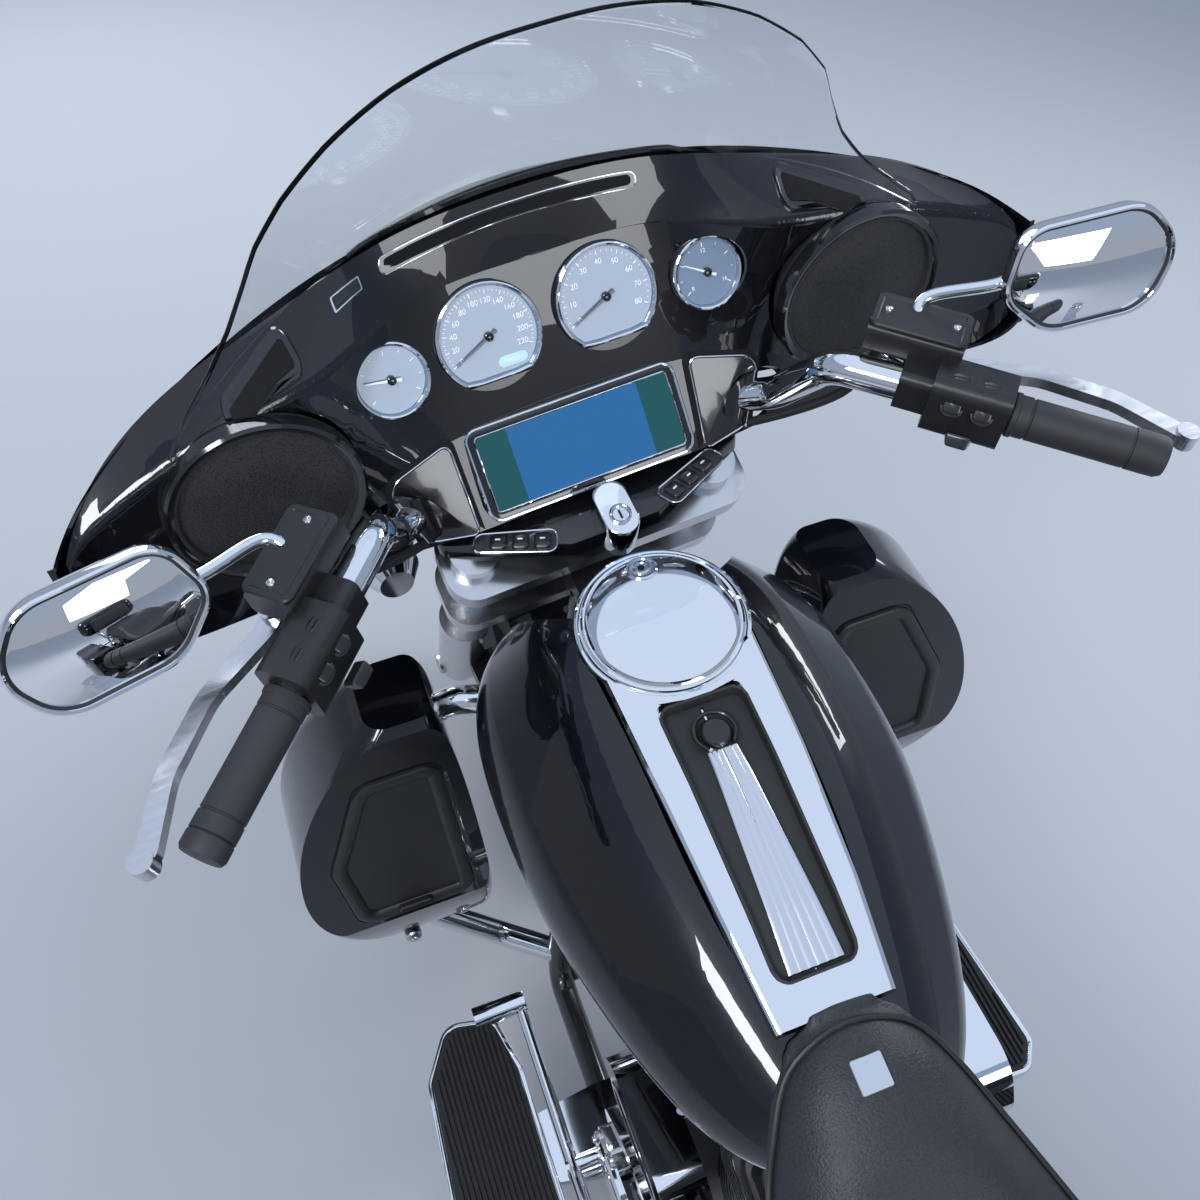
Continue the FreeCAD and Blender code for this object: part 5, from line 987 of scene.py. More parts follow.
stations = [800.2, 801, 803, 806, 812] + [812 + 206 * i / 16 for i in range(1, 16)]
stations += [1018, 1024, 1027, 1029, 1029.8]
tray_shape = [Vector((x, -tray_half(x))) for x in stations]
tray_shape += [Vector((x, -y)) for x, y in reversed(tray_shape)]
TRAY_STEPS = [(-1.2, 0.2), (-1.2, 0.7), (0, 0.9), (1.2, 0.2), (1.8, -2), (2.6, -TRAY_DEEP), (5, -TRAY_DEEP)]
tray_rows = [[tray_spot(p.x, p.y, lift) for p in drawn_in(tray_shape, inset)] for inset, lift in TRAY_STEPS]
for share in (0.75, 0.5, 0.25, 0.04):
    tray_rows.append([tray_spot(p.x, p.y * share, -TRAY_DEEP) for p in drawn_in(tray_shape, 5)])
put("console_tray", lattice(tray_rows), "root", tray_rubber, "grip_rubber")
runner_rows = []
for i in range(15):
    x = 806 + 176 * i / 14
    half = 23 - 10 * i / 14
    floor_z = console_at(x)[1] - TRAY_DEEP
    row = [Vector((x, -half, floor_z))]
    for k in range(41):
        ripple = 0.9 * abs(math.sin(math.pi * k / 40 * 6))
        row.append(Vector((x, -half + 2 * half * k / 40, floor_z + 4.2 + ripple)))
    row.append(Vector((x, half, floor_z)))
    runner_rows.append(row)
runner_alloy = Finish("runner alloy", Metallic=1.0, Base_Color=(0.66, 0.67, 0.7), Roughness=0.2)
put("console_runner", lattice(runner_rows, capped=True), "root", runner_alloy, "bright_chrome", smooth=50)
CAP = [(0, 0), (15, 0), (15.5, 3), (13, 4.5), (12.4, 9.5), (11, 11), (4, 11.6), (0, 11.6)]
put("console_cap", turned(CAP, tray_spot(996, 0, -TRAY_DEEP), (-0.12, 0, 1), 40), "root", rocker_black,
    "control_black")
CAP_LOOP = ((984, -11), (996, -17.5), (1010, -13), (1015, 0), (1010, 13), (996, 17.5), (984, 11))
put("console_cap_loop", rope([tray_spot(x, y, -TRAY_DEEP + 6) for x, y in CAP_LOOP], 1.8, 10, 5), "root",
    rocker_black, "control_black")

DOME = [(0, -5.5), (69, -5.5), (71.9, -3), (72, 2.5), (71, 4.6), (69, 5.6), (67.4, 5.2), (66.6, 6),
        (65, 8.6), (60, 11), (50, 13.6), (38, 15.8), (24, 17.2), (12, 17.9), (0, 18)]
put("fuel_door_dome", turned(DOME, DOOR_MID, DOOR_UP, 96), "filler_door", bright_chrome, "bright_chrome",
    smooth=24, instead="fuel_door")
lock_at = DOOR_MID + Vector((1, 0, 0.09)) * 50 + DOOR_UP * 11.6
lock_up = (DOOR_UP + Vector((0.22, 0, 0.02))).normalized()
DOOR_LOCK = [(0, -2), (14.5, -2), (14.5, 2.2), (13.2, 3.4), (11.6, 3.4), (10.8, 2.4), (9, 2.4), (8.2, 3.4),
             (6.4, 3.6), (5.6, 2.6), (0, 2.6)]
put("fuel_door_lock", turned(DOOR_LOCK, lock_at, lock_up, 48), "filler_door", line_silver, "bright_chrome")
# The keyhole is a near-black disc of painted shade.
put("fuel_door_keyhole", turned([(0, 2), (3.2, 2), (3.2, 3), (0, 3)], lock_at, lock_up, 16), "filler_door",
    painted_shade_black, "black_gloss")


# Lower fairings
# Gloss leg shields with a satin glovebox door each. The door has a raised rounded border, a
# sunk middle, and a round fastener under it holds the shield to the crash bar.
lower_satin = Finish("lower satin", Base_Color=(0.014, 0.0145, 0.016))
lower_satin.mottled(70, 3, 0.14, 0.34)
lower_satin.grained(1100, 2, 0.00012, 0.45)
lower_satin.paint("glove_door_left", "glove_door_right")
GLOVE_UP, GLOVE_OUT = tilted(8)
GLOVE_DOOR = outline([(214, 6), (344, 6), (352, 110), (300, 226), (214, 226)], [20, 26, 40, 30, 22], 8)
BORDER_STEPS = [(0.5, -3), (0.2, 1), (1, 3.4), (3, 4.6), (11, 4.6), (14, 3.4), (16, 0.6), (16, -3)]
shield_spots = []
for side, word in SIDES:
    def glove_spot(y, up, lift):
        return Vector((1134, side * y, 540)) + GLOVE_UP * up + GLOVE_OUT * lift

    put("glove_border_" + word, contour(GLOVE_DOOR, glove_spot, BORDER_STEPS, False), "glove_" + word,
        lower_satin, "lower_black")
    put("glove_latch_" + word, contour(box(262, 14, 300, 22, 4), glove_spot, [(0, 2), (0, 7), (1.5, 8.5)]),
        "glove_" + word, rocker_black, "control_black")
    for x, y, z in ((1164, 300, 420), (1158, 236, 460)):
        shield_spots.append((Vector((x, side * y, z)), (-1, 0, 0.1)))
bolts("lower_fasteners", shield_spots, "root", "bright_chrome", 1.1, PAN_HEAD)


# Footboards
# Steel plates with bright edges, each covered by a moulded rubber mat with lengthwise ribs.
mat_rubber = Finish("mat rubber", Base_Color=(0.014, 0.014, 0.015), Roughness=0.7)
mat_rubber.grained(900, 2, 0.0002, 0.4)
BOARDS = (("rider", [(796, 226), (1010, 226), (1078, 240), (1092, 300), (1030, 338), (820, 352),
                     (790, 330)], [20, 20, 20, 26, 30, 20, 16], 306),
          ("pillion", [(372, 226), (520, 226), (536, 300), (512, 330), (392, 330), (366, 300)],
           [14, 14, 20, 16, 16, 20], 406))
RIB_PITCH = 6.2


def crossing(shape, y):
    """Where a flat outline is crossed at height y: least and greatest x."""
    hits = []
    for a, b in zip(shape, shape[1:] + shape[:1]):
        if (a.y - y) * (b.y - y) < 0:
            hits.append(a.x + (b.x - a.x) * (y - a.y) / (b.y - a.y))
    return (min(hits), max(hits)) if hits else (0, 0)


for word, line, radii, top in BOARDS:
    for side, hand in SIDES:
        def board_spot(x, y, lift):
            return Vector((x, side * y, top + lift))

        shape = outline(line, radii, 7)
        mat_mesh = [contour(shape, board_spot, [(6, -1), (6, 2.6), (7, 3.4), (10, 3.4)])]
        inner = drawn_in(shape, 9)
        low, high = min(p.y for p in inner), max(p.y for p in inner)
        for i in range(int((high - low) / RIB_PITCH)):
            y = low + RIB_PITCH * (i + 0.7)
            x0, x1 = crossing(inner, y)
            if x1 - x0 > 12:
                rib = box(x0 + 2, y - 1.7, x1 - 2, y + 1.7, 0)
                mat_mesh.append(contour(rib, board_spot, [(0, 3), (0, 5.2), (0.6, 5.9)]))
        put("mat_%s_%s" % (word, hand), merged(mat_mesh), "root", mat_rubber, "grip_rubber", smooth=30)
        trim = contour(shape, board_spot, [(-0.6, -13), (-0.6, 0), (0.4, 1.2), (3.4, 1.2), (5.6, 0.4),
                                           (5.6, -2)], False)
        put("board_edge_%s_%s" % (word, hand), trim, "root", bright_chrome, "bright_chrome")


# Seat and backrest
# Foam pads covered in black pebble-grained leather, sewn with piped edges and stitched panels;
# each is blown up a little from its CAD solid as cloth under pressure. The seat is bolted to
# the frame and has a small plain metal plate on its nose; the backrest is on the trunk.
leather = Finish("seat leather")
grain = leather.cells(520)
fine_grain = leather.cells(1300)
leather.set(Roughness=leather.noise(40, 3) * 0.16 + 0.4,
            Base_Color=leather.mix(grain, (0.026, 0.027, 0.03), (0.011, 0.011, 0.013)))
leather.bump(1.0 - (grain * 0.8 + fine_grain * 0.3), 0.0007, 0.55)
welt_leather = Finish("welt leather", Base_Color=(0.013, 0.013, 0.014), Roughness=0.45)
stitch_thread = Finish("stitch thread", Base_Color=(0.03, 0.03, 0.032), Roughness=0.8)
SHRINK = 0.002
CLOTH_FRAMES = 20


def applied(pad):
    """Mesh of an object with its modifiers worked in; the modifiers are removed."""
    made = worked_mesh(pad)
    pad.modifiers.clear()
    pad.data = made
    return made


def soften(pad, times):
    smoother = pad.modifiers.new("smooth", "SMOOTH")
    smoother.factor = 0.5
    smoother.iterations = times


def stuffed(name, node, body, voxel, swell, shape_first=None, shape_last=None):
    """A padded piece blown up from a CAD solid, and its skin on the upright machine."""
    mesh = frame["nodes"][node].data.copy()
    if shape_first:
        shape_first(mesh)
    pad = bpy.data.objects.new(name, mesh)
    add(pad)
    voxels = pad.modifiers.new("voxels", "REMESH")
    voxels.mode = "VOXEL"
    voxels.voxel_size = voxel
    mesh = applied(pad)
    start = [vertex.co - vertex.normal * SHRINK for vertex in mesh.vertices]
    mesh.vertices.foreach_set("co", [c for place in start for c in place])
    cloth = pad.modifiers.new("cloth", "CLOTH")
    cloth.settings.quality = 4
    cloth.settings.use_pressure = True
    cloth.settings.uniform_pressure_force = 4
    cloth.settings.effector_weights.gravity = 0
    for step in range(1, CLOTH_FRAMES + 1):
        bpy.context.scene.frame_set(step)
    moved = pad.evaluated_get(bpy.context.evaluated_depsgraph_get()).data
    blown = [vertex.co.copy() for vertex in moved.vertices]
    pad.modifiers.clear()
    for vertex, place, target in zip(mesh.vertices, start, blown):
        shift = target - place
        vertex.co = place + shift * min(1, swell / max(shift.length, 1e-6))
    soften(pad, 8)
    if shape_last:
        for _ in range(3):
            shape_last(applied(pad))
            soften(pad, 4)
    finer = pad.modifiers.new("finer", "SUBSURF")
    finer.levels = 1
    finer.render_levels = 1
    mesh = applied(pad)
    dress(mesh, leather)
    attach(pad, body)
    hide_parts(node)
    return skin_tree(mesh, body)


TANK_TOP = [surface("fuel_tank", "root"), surface("tank_console", "root")]


ABOVE_ALL = 1200
ON_TANK = 700


def tank_height(x, y):
    """Height of the tank or its console under a place, or nothing beside them."""
    tops = [tree.ray_cast(Vector((x, y, ABOVE_ALL)), DOWN)[0] for tree in TANK_TOP]
    return max([top.z for top in tops if top], default=0)


HORN_STATIONS = [(776, 30, 884, 868), (768, 50, 893, 864), (748, 68, 901, 858), (715, 88, 897, 846),
                 (690, 102, 884, 828), (640, 126, 846, 800), (596, 142, 808, 776)]


def with_horn(mesh):
    """Joins the round horn of the seat's nose to the pad, resting on the tank."""
    rows = []
    for x, half, top, side in HORN_STATIONS:
        upper = []
        lower = []
        for k in range(17):
            share = math.sin(math.pi * (k / 16 - 0.5))
            y = half * share
            tank = tank_height(x, y)
            high = max(top - (top - side) * abs(share) ** 2.6, tank + 8)
            upper.append(Vector((x, y, high)))
            lower.append(Vector((x, y, tank + 1.5 if tank > ON_TANK else high - 30)))
        rows.append(upper + lower[::-1])
    horn = lattice(rows, capped=True)
    horn.transform(parked)
    both = bmesh.new()
    both.from_mesh(mesh)
    both.from_mesh(horn)
    both.to_mesh(mesh)
    both.free()


def clear_of_tank(mesh):
    """Keeps the seat's nose on top of the tank, never in it, and thick enough to look padded."""
    back = parked.inverted()
    for vertex in mesh.vertices:
        place = back @ vertex.co
        if place.x > 560:
            tank = tank_height(place.x, place.y)
            if tank > ON_TANK:
                facing_up = max(0, (leaned.inverted() @ vertex.normal).z)
                place.z = max(place.z, tank + 0.8 + 7 * min(1, facing_up * 1.4))
                vertex.co = parked @ place


saddle = stuffed("seat_pad", "seat", "root", 0.0068, 0.009, with_horn, clear_of_tank)
stuffed("backrest_pad", "backrest", "root", 0.0058, 0.008)


def sewn(name, points, radius, finish, sink=0.4):
    """A piped edge or seam along points of the seat's plan, dropped on it."""
    line = [met(saddle, Vector((x, y, ABOVE_ALL)), DOWN) for x, y in points]
    spots = [place + normal * (radius - sink) for place, normal in line]
    put(name, rope(spots, radius, 8, 3), "root", finish, "seat_leather")


def mirrored(edge):
    """An edge of the seat's plan, on the right instead of the left."""
    return [(x, -y) for x, y in edge]


SEAT_EDGE = [(754, 34), (742, 56), (715, 74), (690, 88), (640, 110), (590, 132), (540, 150), (480, 160),
             (430, 160), (395, 156)]
PILLION_EDGE = [(352, 138), (320, 142), (270, 138), (220, 132), (160, 127), (80, 121), (0, 114), (-50, 104),
                (-74, 86), (-82, 52), (-84, 0)]
welt_front = SEAT_EDGE[::-1] + [(760, 0)] + mirrored(SEAT_EDGE)
sewn("seat_welt_front", welt_front, 2.4, welt_leather)
sewn("seat_welt_rear", PILLION_EDGE[:-1] + mirrored(PILLION_EDGE[::-1]), 2.4, welt_leather)
sewn("seat_seam_cross", [(392, y) for y in (-118, -80, -40, 0, 40, 80, 118)], 1.0, stitch_thread, 0.5)
for side, word in SIDES:
    seam = [(x, side * y * 0.72) for x, y in PILLION_EDGE[:-2]]
    sewn("seat_seam_rear_" + word, seam, 1.0, stitch_thread, 0.5)
badge_at, badge_up = met(saddle, Vector((722, 0, ABOVE_ALL)), DOWN)
badge_ahead = (AHEAD - badge_up * badge_up.x).normalized()
badge_side = badge_up.cross(badge_ahead)


def badge_spot(x, y, lift):
    return badge_at + badge_side * x + badge_ahead * y + badge_up * lift


put("seat_plate", contour(box(-12.5, -12.5, 12.5, 12.5, 2, 4), badge_spot, [(0, -2), (0, 1.2), (0.5, 1.8)]),
    "root", runner_alloy, "seat_leather")


# Engine
# Cast cases in silver-grey crackle paint, black finned barrels and heads, and polished chrome
# covers held on by rows of dome bolts; the pipes are chromed steel clamped to the heads.
case_grey = Finish("case grey", Metallic=0.75, Base_Color=(0.2, 0.2, 0.205))
case_grey.mottled(90, 4, 0.2, 0.34)
case_grey.grained(700, 3, 0.0003, 0.5)
case_grey.paint("crankcase")
fin_black = Finish("fin black", Metallic=0.4, Base_Color=(0.02, 0.02, 0.021), Roughness=0.4)
fin_black.grained(800, 2, 0.0002, 0.4)
fin_black.paint("cylinders", "cylinder_heads")
bright_chrome.paint("rocker_covers", "engine_covers", "horn_cover", "air_cleaner", "rear_rails",
                    "engine_guard", "footboards", "foot_controls", "front_lamps")
pipe_chrome = Finish("pipe chrome", Metallic=1.0)
heat = pipe_chrome.noise(7, 4)
pipe_chrome.set(Base_Color=pipe_chrome.mix(heat, (0.62, 0.6, 0.58), (0.82, 0.83, 0.86)),
                Roughness=heat * 0.08 + 0.03)
pipe_chrome.paint("exhaust")
frame_black = Finish("frame black", Base_Color=(0.008, 0.008, 0.009), Roughness=0.28, Coat_Weight=0.8,
                     Coat_Roughness=0.08)
frame_black.paint("frame", "shocks", "side_stand", "drive_belt")
covers_skin = surface("engine_covers", "root")


def ringed(line, inset, radii, count, y):
    """Bolt spots evenly spaced round a cover's edge, dropped on its face from far out at y."""
    shape = drawn_in(outline(line, radii, 6), inset)
    lengths = [(shape[(i + 1) % len(shape)] - shape[i]).length for i in range(len(shape))]
    aim = Vector((0, -math.copysign(1, y), 0))
    spots = []
    for k in range(count):
        run = sum(lengths) * k / count
        i = 0
        while run > lengths[i]:
            run -= lengths[i]
            i += 1
        p = shape[i].lerp(shape[(i + 1) % len(shape)], run / lengths[i])
        spots.append((met(covers_skin, Vector((p.x, y, p.y)), aim)[0], -aim))
    return spots


PRIMARY = [(915, 330), (888, 262), (825, 240), (628, 248), (590, 294), (590, 384), (646, 426), (842, 426)]
CAM = [(930, 350), (880, 250), (760, 235), (720, 300), (740, 420), (900, 430)]
bolts("cover_bolts", ringed(PRIMARY, 9, [54, 44, 36, 34, 34, 34, 34, 62], 13, 300)
      + ringed(CAM, 9, [60, 50, 40, 40, 40, 50], 9, -300), "root", "bright_chrome", 1.15)
DERBY = [(0, 0), (62, 0), (62, 5), (58, 8), (50, 8), (47, 6.4), (44, 8), (20, 11), (0, 12)]
put("derby_cover", turned(DERBY, (840, 166, 330), LEFT, 72), "root", bright_chrome, "bright_chrome")
derby_spots = []
for i in range(5):
    turn = math.tau * i / 5 + 0.3
    derby_spots.append((Vector((840 + math.cos(turn) * 54, 174, 330 + math.sin(turn) * 54)), (0, 1, 0)))
    derby_spots.append((Vector((855 + math.cos(turn) * 38, -142, 335 + math.sin(turn) * 38)), (0, -1, 0)))
bolts("derby_bolts", derby_spots, "root", "bright_chrome", 0.8)
CRANK = Vector((820, 0, 318))
HEAD_FAR = 396
CYLINDER_LEAN = math.radians(22.5)
head_spots = []
for side, word in SIDES:
    lean = CYLINDER_LEAN * side
    axis = Vector((math.sin(lean), 0, math.cos(lean)))
    across = Vector((math.cos(lean), 0, -math.sin(lean)))
    for a in (-50, 50):
        for b in (-54, 0, 54):
            head_spots.append((CRANK + axis * HEAD_FAR + across * a + LEFT * b, axis))
bolts("rocker_bolts", head_spots, "root", "bright_chrome", 1.3)


def cleaner_spot(x, z, lift):
    return Vector((834 + x, -188 - lift, 585 + z))


def horn_spot(x, z, lift):
    return Vector((820 + x, 148 + lift, 560 + z))


cleaner_band = outline([(-84, -34), (66, -34), (88, 2), (64, 38), (-84, 38), (-100, 2)],
                       [30, 30, 30, 30, 30, 24], 6)
put("cleaner_face", contour(cleaner_band, cleaner_spot, [(0, -2), (0, 2), (1, 3), (9, 3), (10, 1.4)]),
    "root", gloss_black, "engine_fins")
horn_band = outline([(-52, -20), (52, -20), (62, 2), (44, 28), (-44, 28), (-62, 2)],
                    [14, 14, 16, 18, 18, 16], 6)
put("horn_face", contour(horn_band, horn_spot, [(0, -2), (0, 1.6), (1, 2.4), (5, 2.4), (6, 1.2)]),
    "root", gloss_black, "engine_fins")


# Lamps
# Clear lenses with fine flutes over bright reflectors, in chromed rims: the headlamp, the two
# passing lamps beside it and the front signals under them.
lamp_lens = Finish("lamp lens", Metallic=0.85, Base_Color=(0.78, 0.8, 0.84), Coat_Weight=1.0,
                   Coat_Roughness=0.01)
flutes = lamp_lens.node("ShaderNodeTexWave", {"wave_type": "BANDS", "bands_direction": "Y"},
                        {"Vector": lamp_lens.place, "Scale": 34}, "Fac")
lamp_lens.set(Roughness=flutes * 0.12 + 0.05)
lamp_lens.bump(flutes, 0.0008, 0.5)
LAMPS = [((1650, 0, 922), 80, "head"),
         ((1506, 196, 822), 48, "pass_left"), ((1506, -196, 822), 48, "pass_right"),
         ((1494, 196, 728), 30, "signal_left"), ((1494, -196, 728), 30, "signal_right")]
for centre, r, word in LAMPS:
    dome = [(0, -6), (r, -6), (r, 0), (r * 0.94, r * 0.05), (r * 0.7, r * 0.12), (r * 0.4, r * 0.155),
            (0, r * 0.17)]
    put("lens_" + word, turned(dome, centre, AHEAD, 64), "steering", lamp_lens, "lamp_glass")
    rim = [(r - 1, -4), (r + 5, -4), (r + 5.5, 2), (r + 3, 5), (r - 1, 3.5), (r - 1, -4)]
    put("lens_rim_" + word, turned(rim, centre, AHEAD, 64), "steering", bright_chrome, "bright_chrome")


# Windshield
# One sheet of clear acrylic rolled to a curve, its outline swept out to a rounded ear at each
# side and polished. It stands on the fairing in a thin black gasket, as one piece with it.
SHIELD_ROOT = Vector((1452, 0, 1160))
SHIELD_LINE = (Vector((1300, 0, 1378)) - SHIELD_ROOT).normalized()
SHIELD_IN = Vector((-SHIELD_LINE.z, 0, SHIELD_LINE.x))
SHIELD_R = 500
SHIELD_EDGE = [(0, 1385), (55, 1384), (110, 1374), (160, 1352), (200, 1322), (228, 1288), (246, 1250),
               (266, 1212), (292, 1178), (318, 1154), (336, 1138), (345, 1124)]
SHEET_HALF = 344.5
SHEET_MID = 2.2
COLUMNS = 96
clear_sheet = Finish("windshield", Base_Color=(0.95, 0.97, 0.98), Roughness=0.0, Transmission_Weight=1.0,
                     IOR=1.3)
gasket_black = Finish("gasket black", Base_Color=(0.012, 0.012, 0.013), Roughness=0.45)
fairing_skin = surface("outer_fairing", "steering")


def shield_point(y, rise, depth):
    """Place on the sheet at a side offset, a rise along its slope and a depth in its thickness."""
    r = SHIELD_R - depth
    turn = math.asin(y / SHIELD_R)
    middle = SHIELD_ROOT + SHIELD_IN * SHIELD_R
    across = Vector((0, r * math.sin(turn), 0))
    return middle + SHIELD_LINE * rise - SHIELD_IN * (r * math.cos(turn)) + across


def shield_rise(y, z):
    return (z - shield_point(y, 0, 0).z) / SHIELD_LINE.z


def edge_height(y):
    """Height of the sheet's outline at a side offset, on a smooth curve through its points."""
    y = abs(y)
    i = max(k for k in range(len(SHIELD_EDGE) - 1) if SHIELD_EDGE[k][0] <= y)
    (y0, a), (y1, b) = SHIELD_EDGE[i], SHIELD_EDGE[i + 1]
    before = SHIELD_EDGE[i - 1][1] if i else b
    after = SHIELD_EDGE[min(i + 2, len(SHIELD_EDGE) - 1)][1]
    return on_curve(before, a, b, after, (y - y0) / (y1 - y0))


shield_rows = []
gasket_line = []
for i in range(COLUMNS + 1):
    y = SHEET_HALF * math.sin(math.pi * (i / COLUMNS - 0.5))
    top = shield_rise(y, edge_height(y))
    seat = fairing_skin.ray_cast(shield_point(y, top + 40, SHEET_MID), -SHIELD_LINE)[0]
    low = (seat - shield_point(y, 0, SHEET_MID)).dot(SHIELD_LINE) if seat else shield_rise(y, 1098)
    low = min(low, top - 12)
    gasket_line.append(shield_point(y, low + 0.5, SHEET_MID))
    heights = [low - 7 + (top - 6 - low + 7) * k / 12 for k in range(13)] + [top - 3.4, top - 1.8]
    row = [shield_point(y, h, 0.3) for h in heights]
    row += [shield_point(y, top - 0.5, 0.9), shield_point(y, top, SHEET_MID),
            shield_point(y, top - 0.5, 3.6)]
    row += [shield_point(y, h, 4.2) for h in reversed(heights)]
    shield_rows.append(row)
put("windshield_sheet", lattice(shield_rows, capped=True), "steering", clear_sheet, "clear_screen",
    smooth=25, instead="windshield")
put("windshield_gasket", rope(gasket_line[4:-4], 3.4, 8, 1), "steering", gasket_black, "control_black")


# Reservoirs and hoses
# Fluid reservoirs with a screwed lid on each housing, their fittings, and rubber hoses that run
# from the controls in under the fairing; all turn with the bars.
hose_rubber = Finish("hose rubber", Base_Color=(0.014, 0.014, 0.015), Roughness=0.6)
LID_MID = GRIP_START - GRIP_DIR * 92 + GRIP_AHEAD * 34 + Vector((0, 0, 26)) + GRIP_UP * 15
LID_STEPS = [(0.6, -0.4), (0.6, 0.4), (-0.6, 0.5), (-0.6, 3.6), (0.8, 4.8), (5, 4.8), (6.2, 3.9),
             (6.8, 3.9)]
FITTING = GRIP_START - GRIP_DIR * 108 + GRIP_AHEAD * 30 + Vector((0, 0, 2))
INWARD = (AHEAD - GRIP_DIR * 0.8).normalized()
HOSE_LINE = [FITTING - INWARD * 12, FITTING + INWARD * 14, Vector((1240, 236, 996)),
             Vector((1292, 176, 944)), Vector((1340, 140, 912)), Vector((1390, 122, 900))]
HOSE_SLEEVE = [(0, -13), (7, -13), (7, 2), (5.4, 3), (5.4, 13), (0, 13)]
for side, word in SIDES:
    def lid_spot(x, y, lift):
        return on_side(LID_MID + GRIP_DIR * x + GRIP_AHEAD * y + GRIP_UP * lift, side)

    put("reservoir_lid_" + word, contour(box(-42, -22, 42, 22, 7, 5), lid_spot, LID_STEPS), "steering",
        housing_black, "control_black")
    bolts("reservoir_screws_" + word, [(lid_spot(x, 0, 3.4), on_side(GRIP_UP, side)) for x in (-30, 30)],
          "steering", "bright_chrome", 0.75)
    put("hose_" + word, rope([on_side(p, side) for p in HOSE_LINE], 4.6, 10, 8), "steering", hose_rubber,
        "control_black")
    put("hose_end_" + word, turned(HOSE_SLEEVE, on_side(FITTING, side), on_side(INWARD, side), 20),
        "steering", bright_chrome, "bright_chrome")


# Luggage
# Gloss side cases and trunk with chromed fittings, sat on the skin where they are dropped on it:
# hinge plates on the cases and their lids, handles on the lids, latches and hinges on the trunk
# with their plates on its lid, a lock, and red lenses and reflectors.
lens_red = Finish("lens red", Base_Color=(0.34, 0.004, 0.004), Roughness=0.1, Coat_Weight=1.0,
                  Coat_Roughness=0.02)
lens_amber = Finish("lens amber", Base_Color=(0.5, 0.13, 0.005), Roughness=0.12, Coat_Weight=1.0,
                    Coat_Roughness=0.02)
for glass in (lens_red, lens_amber):
    glass.bump(glass.cells(240), 0.0006, 0.4)


def flat(name, half_long, half_wide, radius, spot, along, steps, body, finish=bright_chrome,
         slot="bright_chrome"):
    """Stepped plate on a (place, facing) spot of a skin, its length in the along direction."""
    middle, out = spot[0], spot[1].normalized()
    across = out.cross(along)

    def place(x, y, lift):
        return middle + along * x + across * y + out * lift

    shape = box(-half_long, -half_wide, half_long, half_wide, radius, 5)
    put(name, contour(shape, place, steps), body, finish, slot)


PLATE_STEPS = [(0, -1.5), (0, 1.6), (0.9, 2.6)]
HANDLE_STEPS = [(0, -1.5), (0, 2), (1.5, 3.4), (5, 3.4), (6, 2.4), (8, 2.4)]
LATCH_STEPS = [(0, -1.5), (0, 3), (1, 4.4), (4, 4.8)]
CASE_LENS_STEPS = [(0, -1.5), (0, 3), (2, 6), (5, 7.5), (9, 8)]
TRUNK_LENS_STEPS = [(0, -1.5), (0, 3), (2, 6), (5, 7.4), (9, 8)]
BESIDE = 600
for side, word in SIDES:
    bag_skin = surface("saddlebag_" + word, "root")
    lid_skin = surface("bag_lid_" + word, "lid_" + word)
    aim = -Vector((0, side, 0))
    for number, x in enumerate((-200, 0, 150)):
        for kind, skin, z, body in (("hinge", bag_skin, 634, "root"),
                                    ("leaf", lid_skin, 666, "lid_" + word)):
            flat("case_%s_%s_%d" % (kind, word, number), 24, 9, 4,
                 met(skin, Vector((x, side * BESIDE, z)), aim), AHEAD, PLATE_STEPS, body)
    flat("case_reflector_" + word, 42, 15, 7, met(bag_skin, Vector((-236, side * BESIDE, 400)), aim), AHEAD,
         PLATE_STEPS, "root", lens_red, "tail_red")
    flat("case_rear_lens_" + word, 17, 62, 12, met(bag_skin, Vector((-700, side * 320, 470)), AHEAD), LEFT,
         CASE_LENS_STEPS, "root", lens_red, "tail_red")
    flat("case_handle_" + word, 58, 13, 12, met(lid_skin, Vector((20, side * 238, 900)), DOWN), AHEAD,
         HANDLE_STEPS, "lid_" + word)
trunk_skin = surface("trunk_base", "root")
trunk_top_skin = surface("trunk_lid", "trunk_top")
for number, x in enumerate((-520, -250)):
    for side, kind, half, plate_half in ((-1, "latch", 18, 16), (1, "hinge", 26, 26)):
        aim = Vector((0, -side, 0))
        flat("trunk_%s_%d" % (kind, number), half, 22, 7,
             met(trunk_skin, Vector((x, side * BESIDE, 958)), aim), AHEAD, LATCH_STEPS, "root")
        flat("trunk_%s_plate_%d" % (kind, number), plate_half, 12, 5,
             met(trunk_top_skin, Vector((x, side * BESIDE, 1005)), aim), AHEAD, PLATE_STEPS, "trunk_top")
flat("trunk_lens", 150, 15, 12, met(trunk_skin, Vector((-900, 0, 936)), AHEAD), LEFT,
     TRUNK_LENS_STEPS, "root", lens_red, "tail_red")
lock_at, lock_out = met(trunk_skin, Vector((-900, 0, 968)), AHEAD)
TRUNK_LOCK = [(0, -2), (11, -2), (11, 2), (9.6, 3.4), (6.4, 3.4), (6, 2.4), (0, 2.4)]
put("trunk_lock", turned(TRUNK_LOCK, lock_at, lock_out, 28), "root", bright_chrome, "bright_chrome")


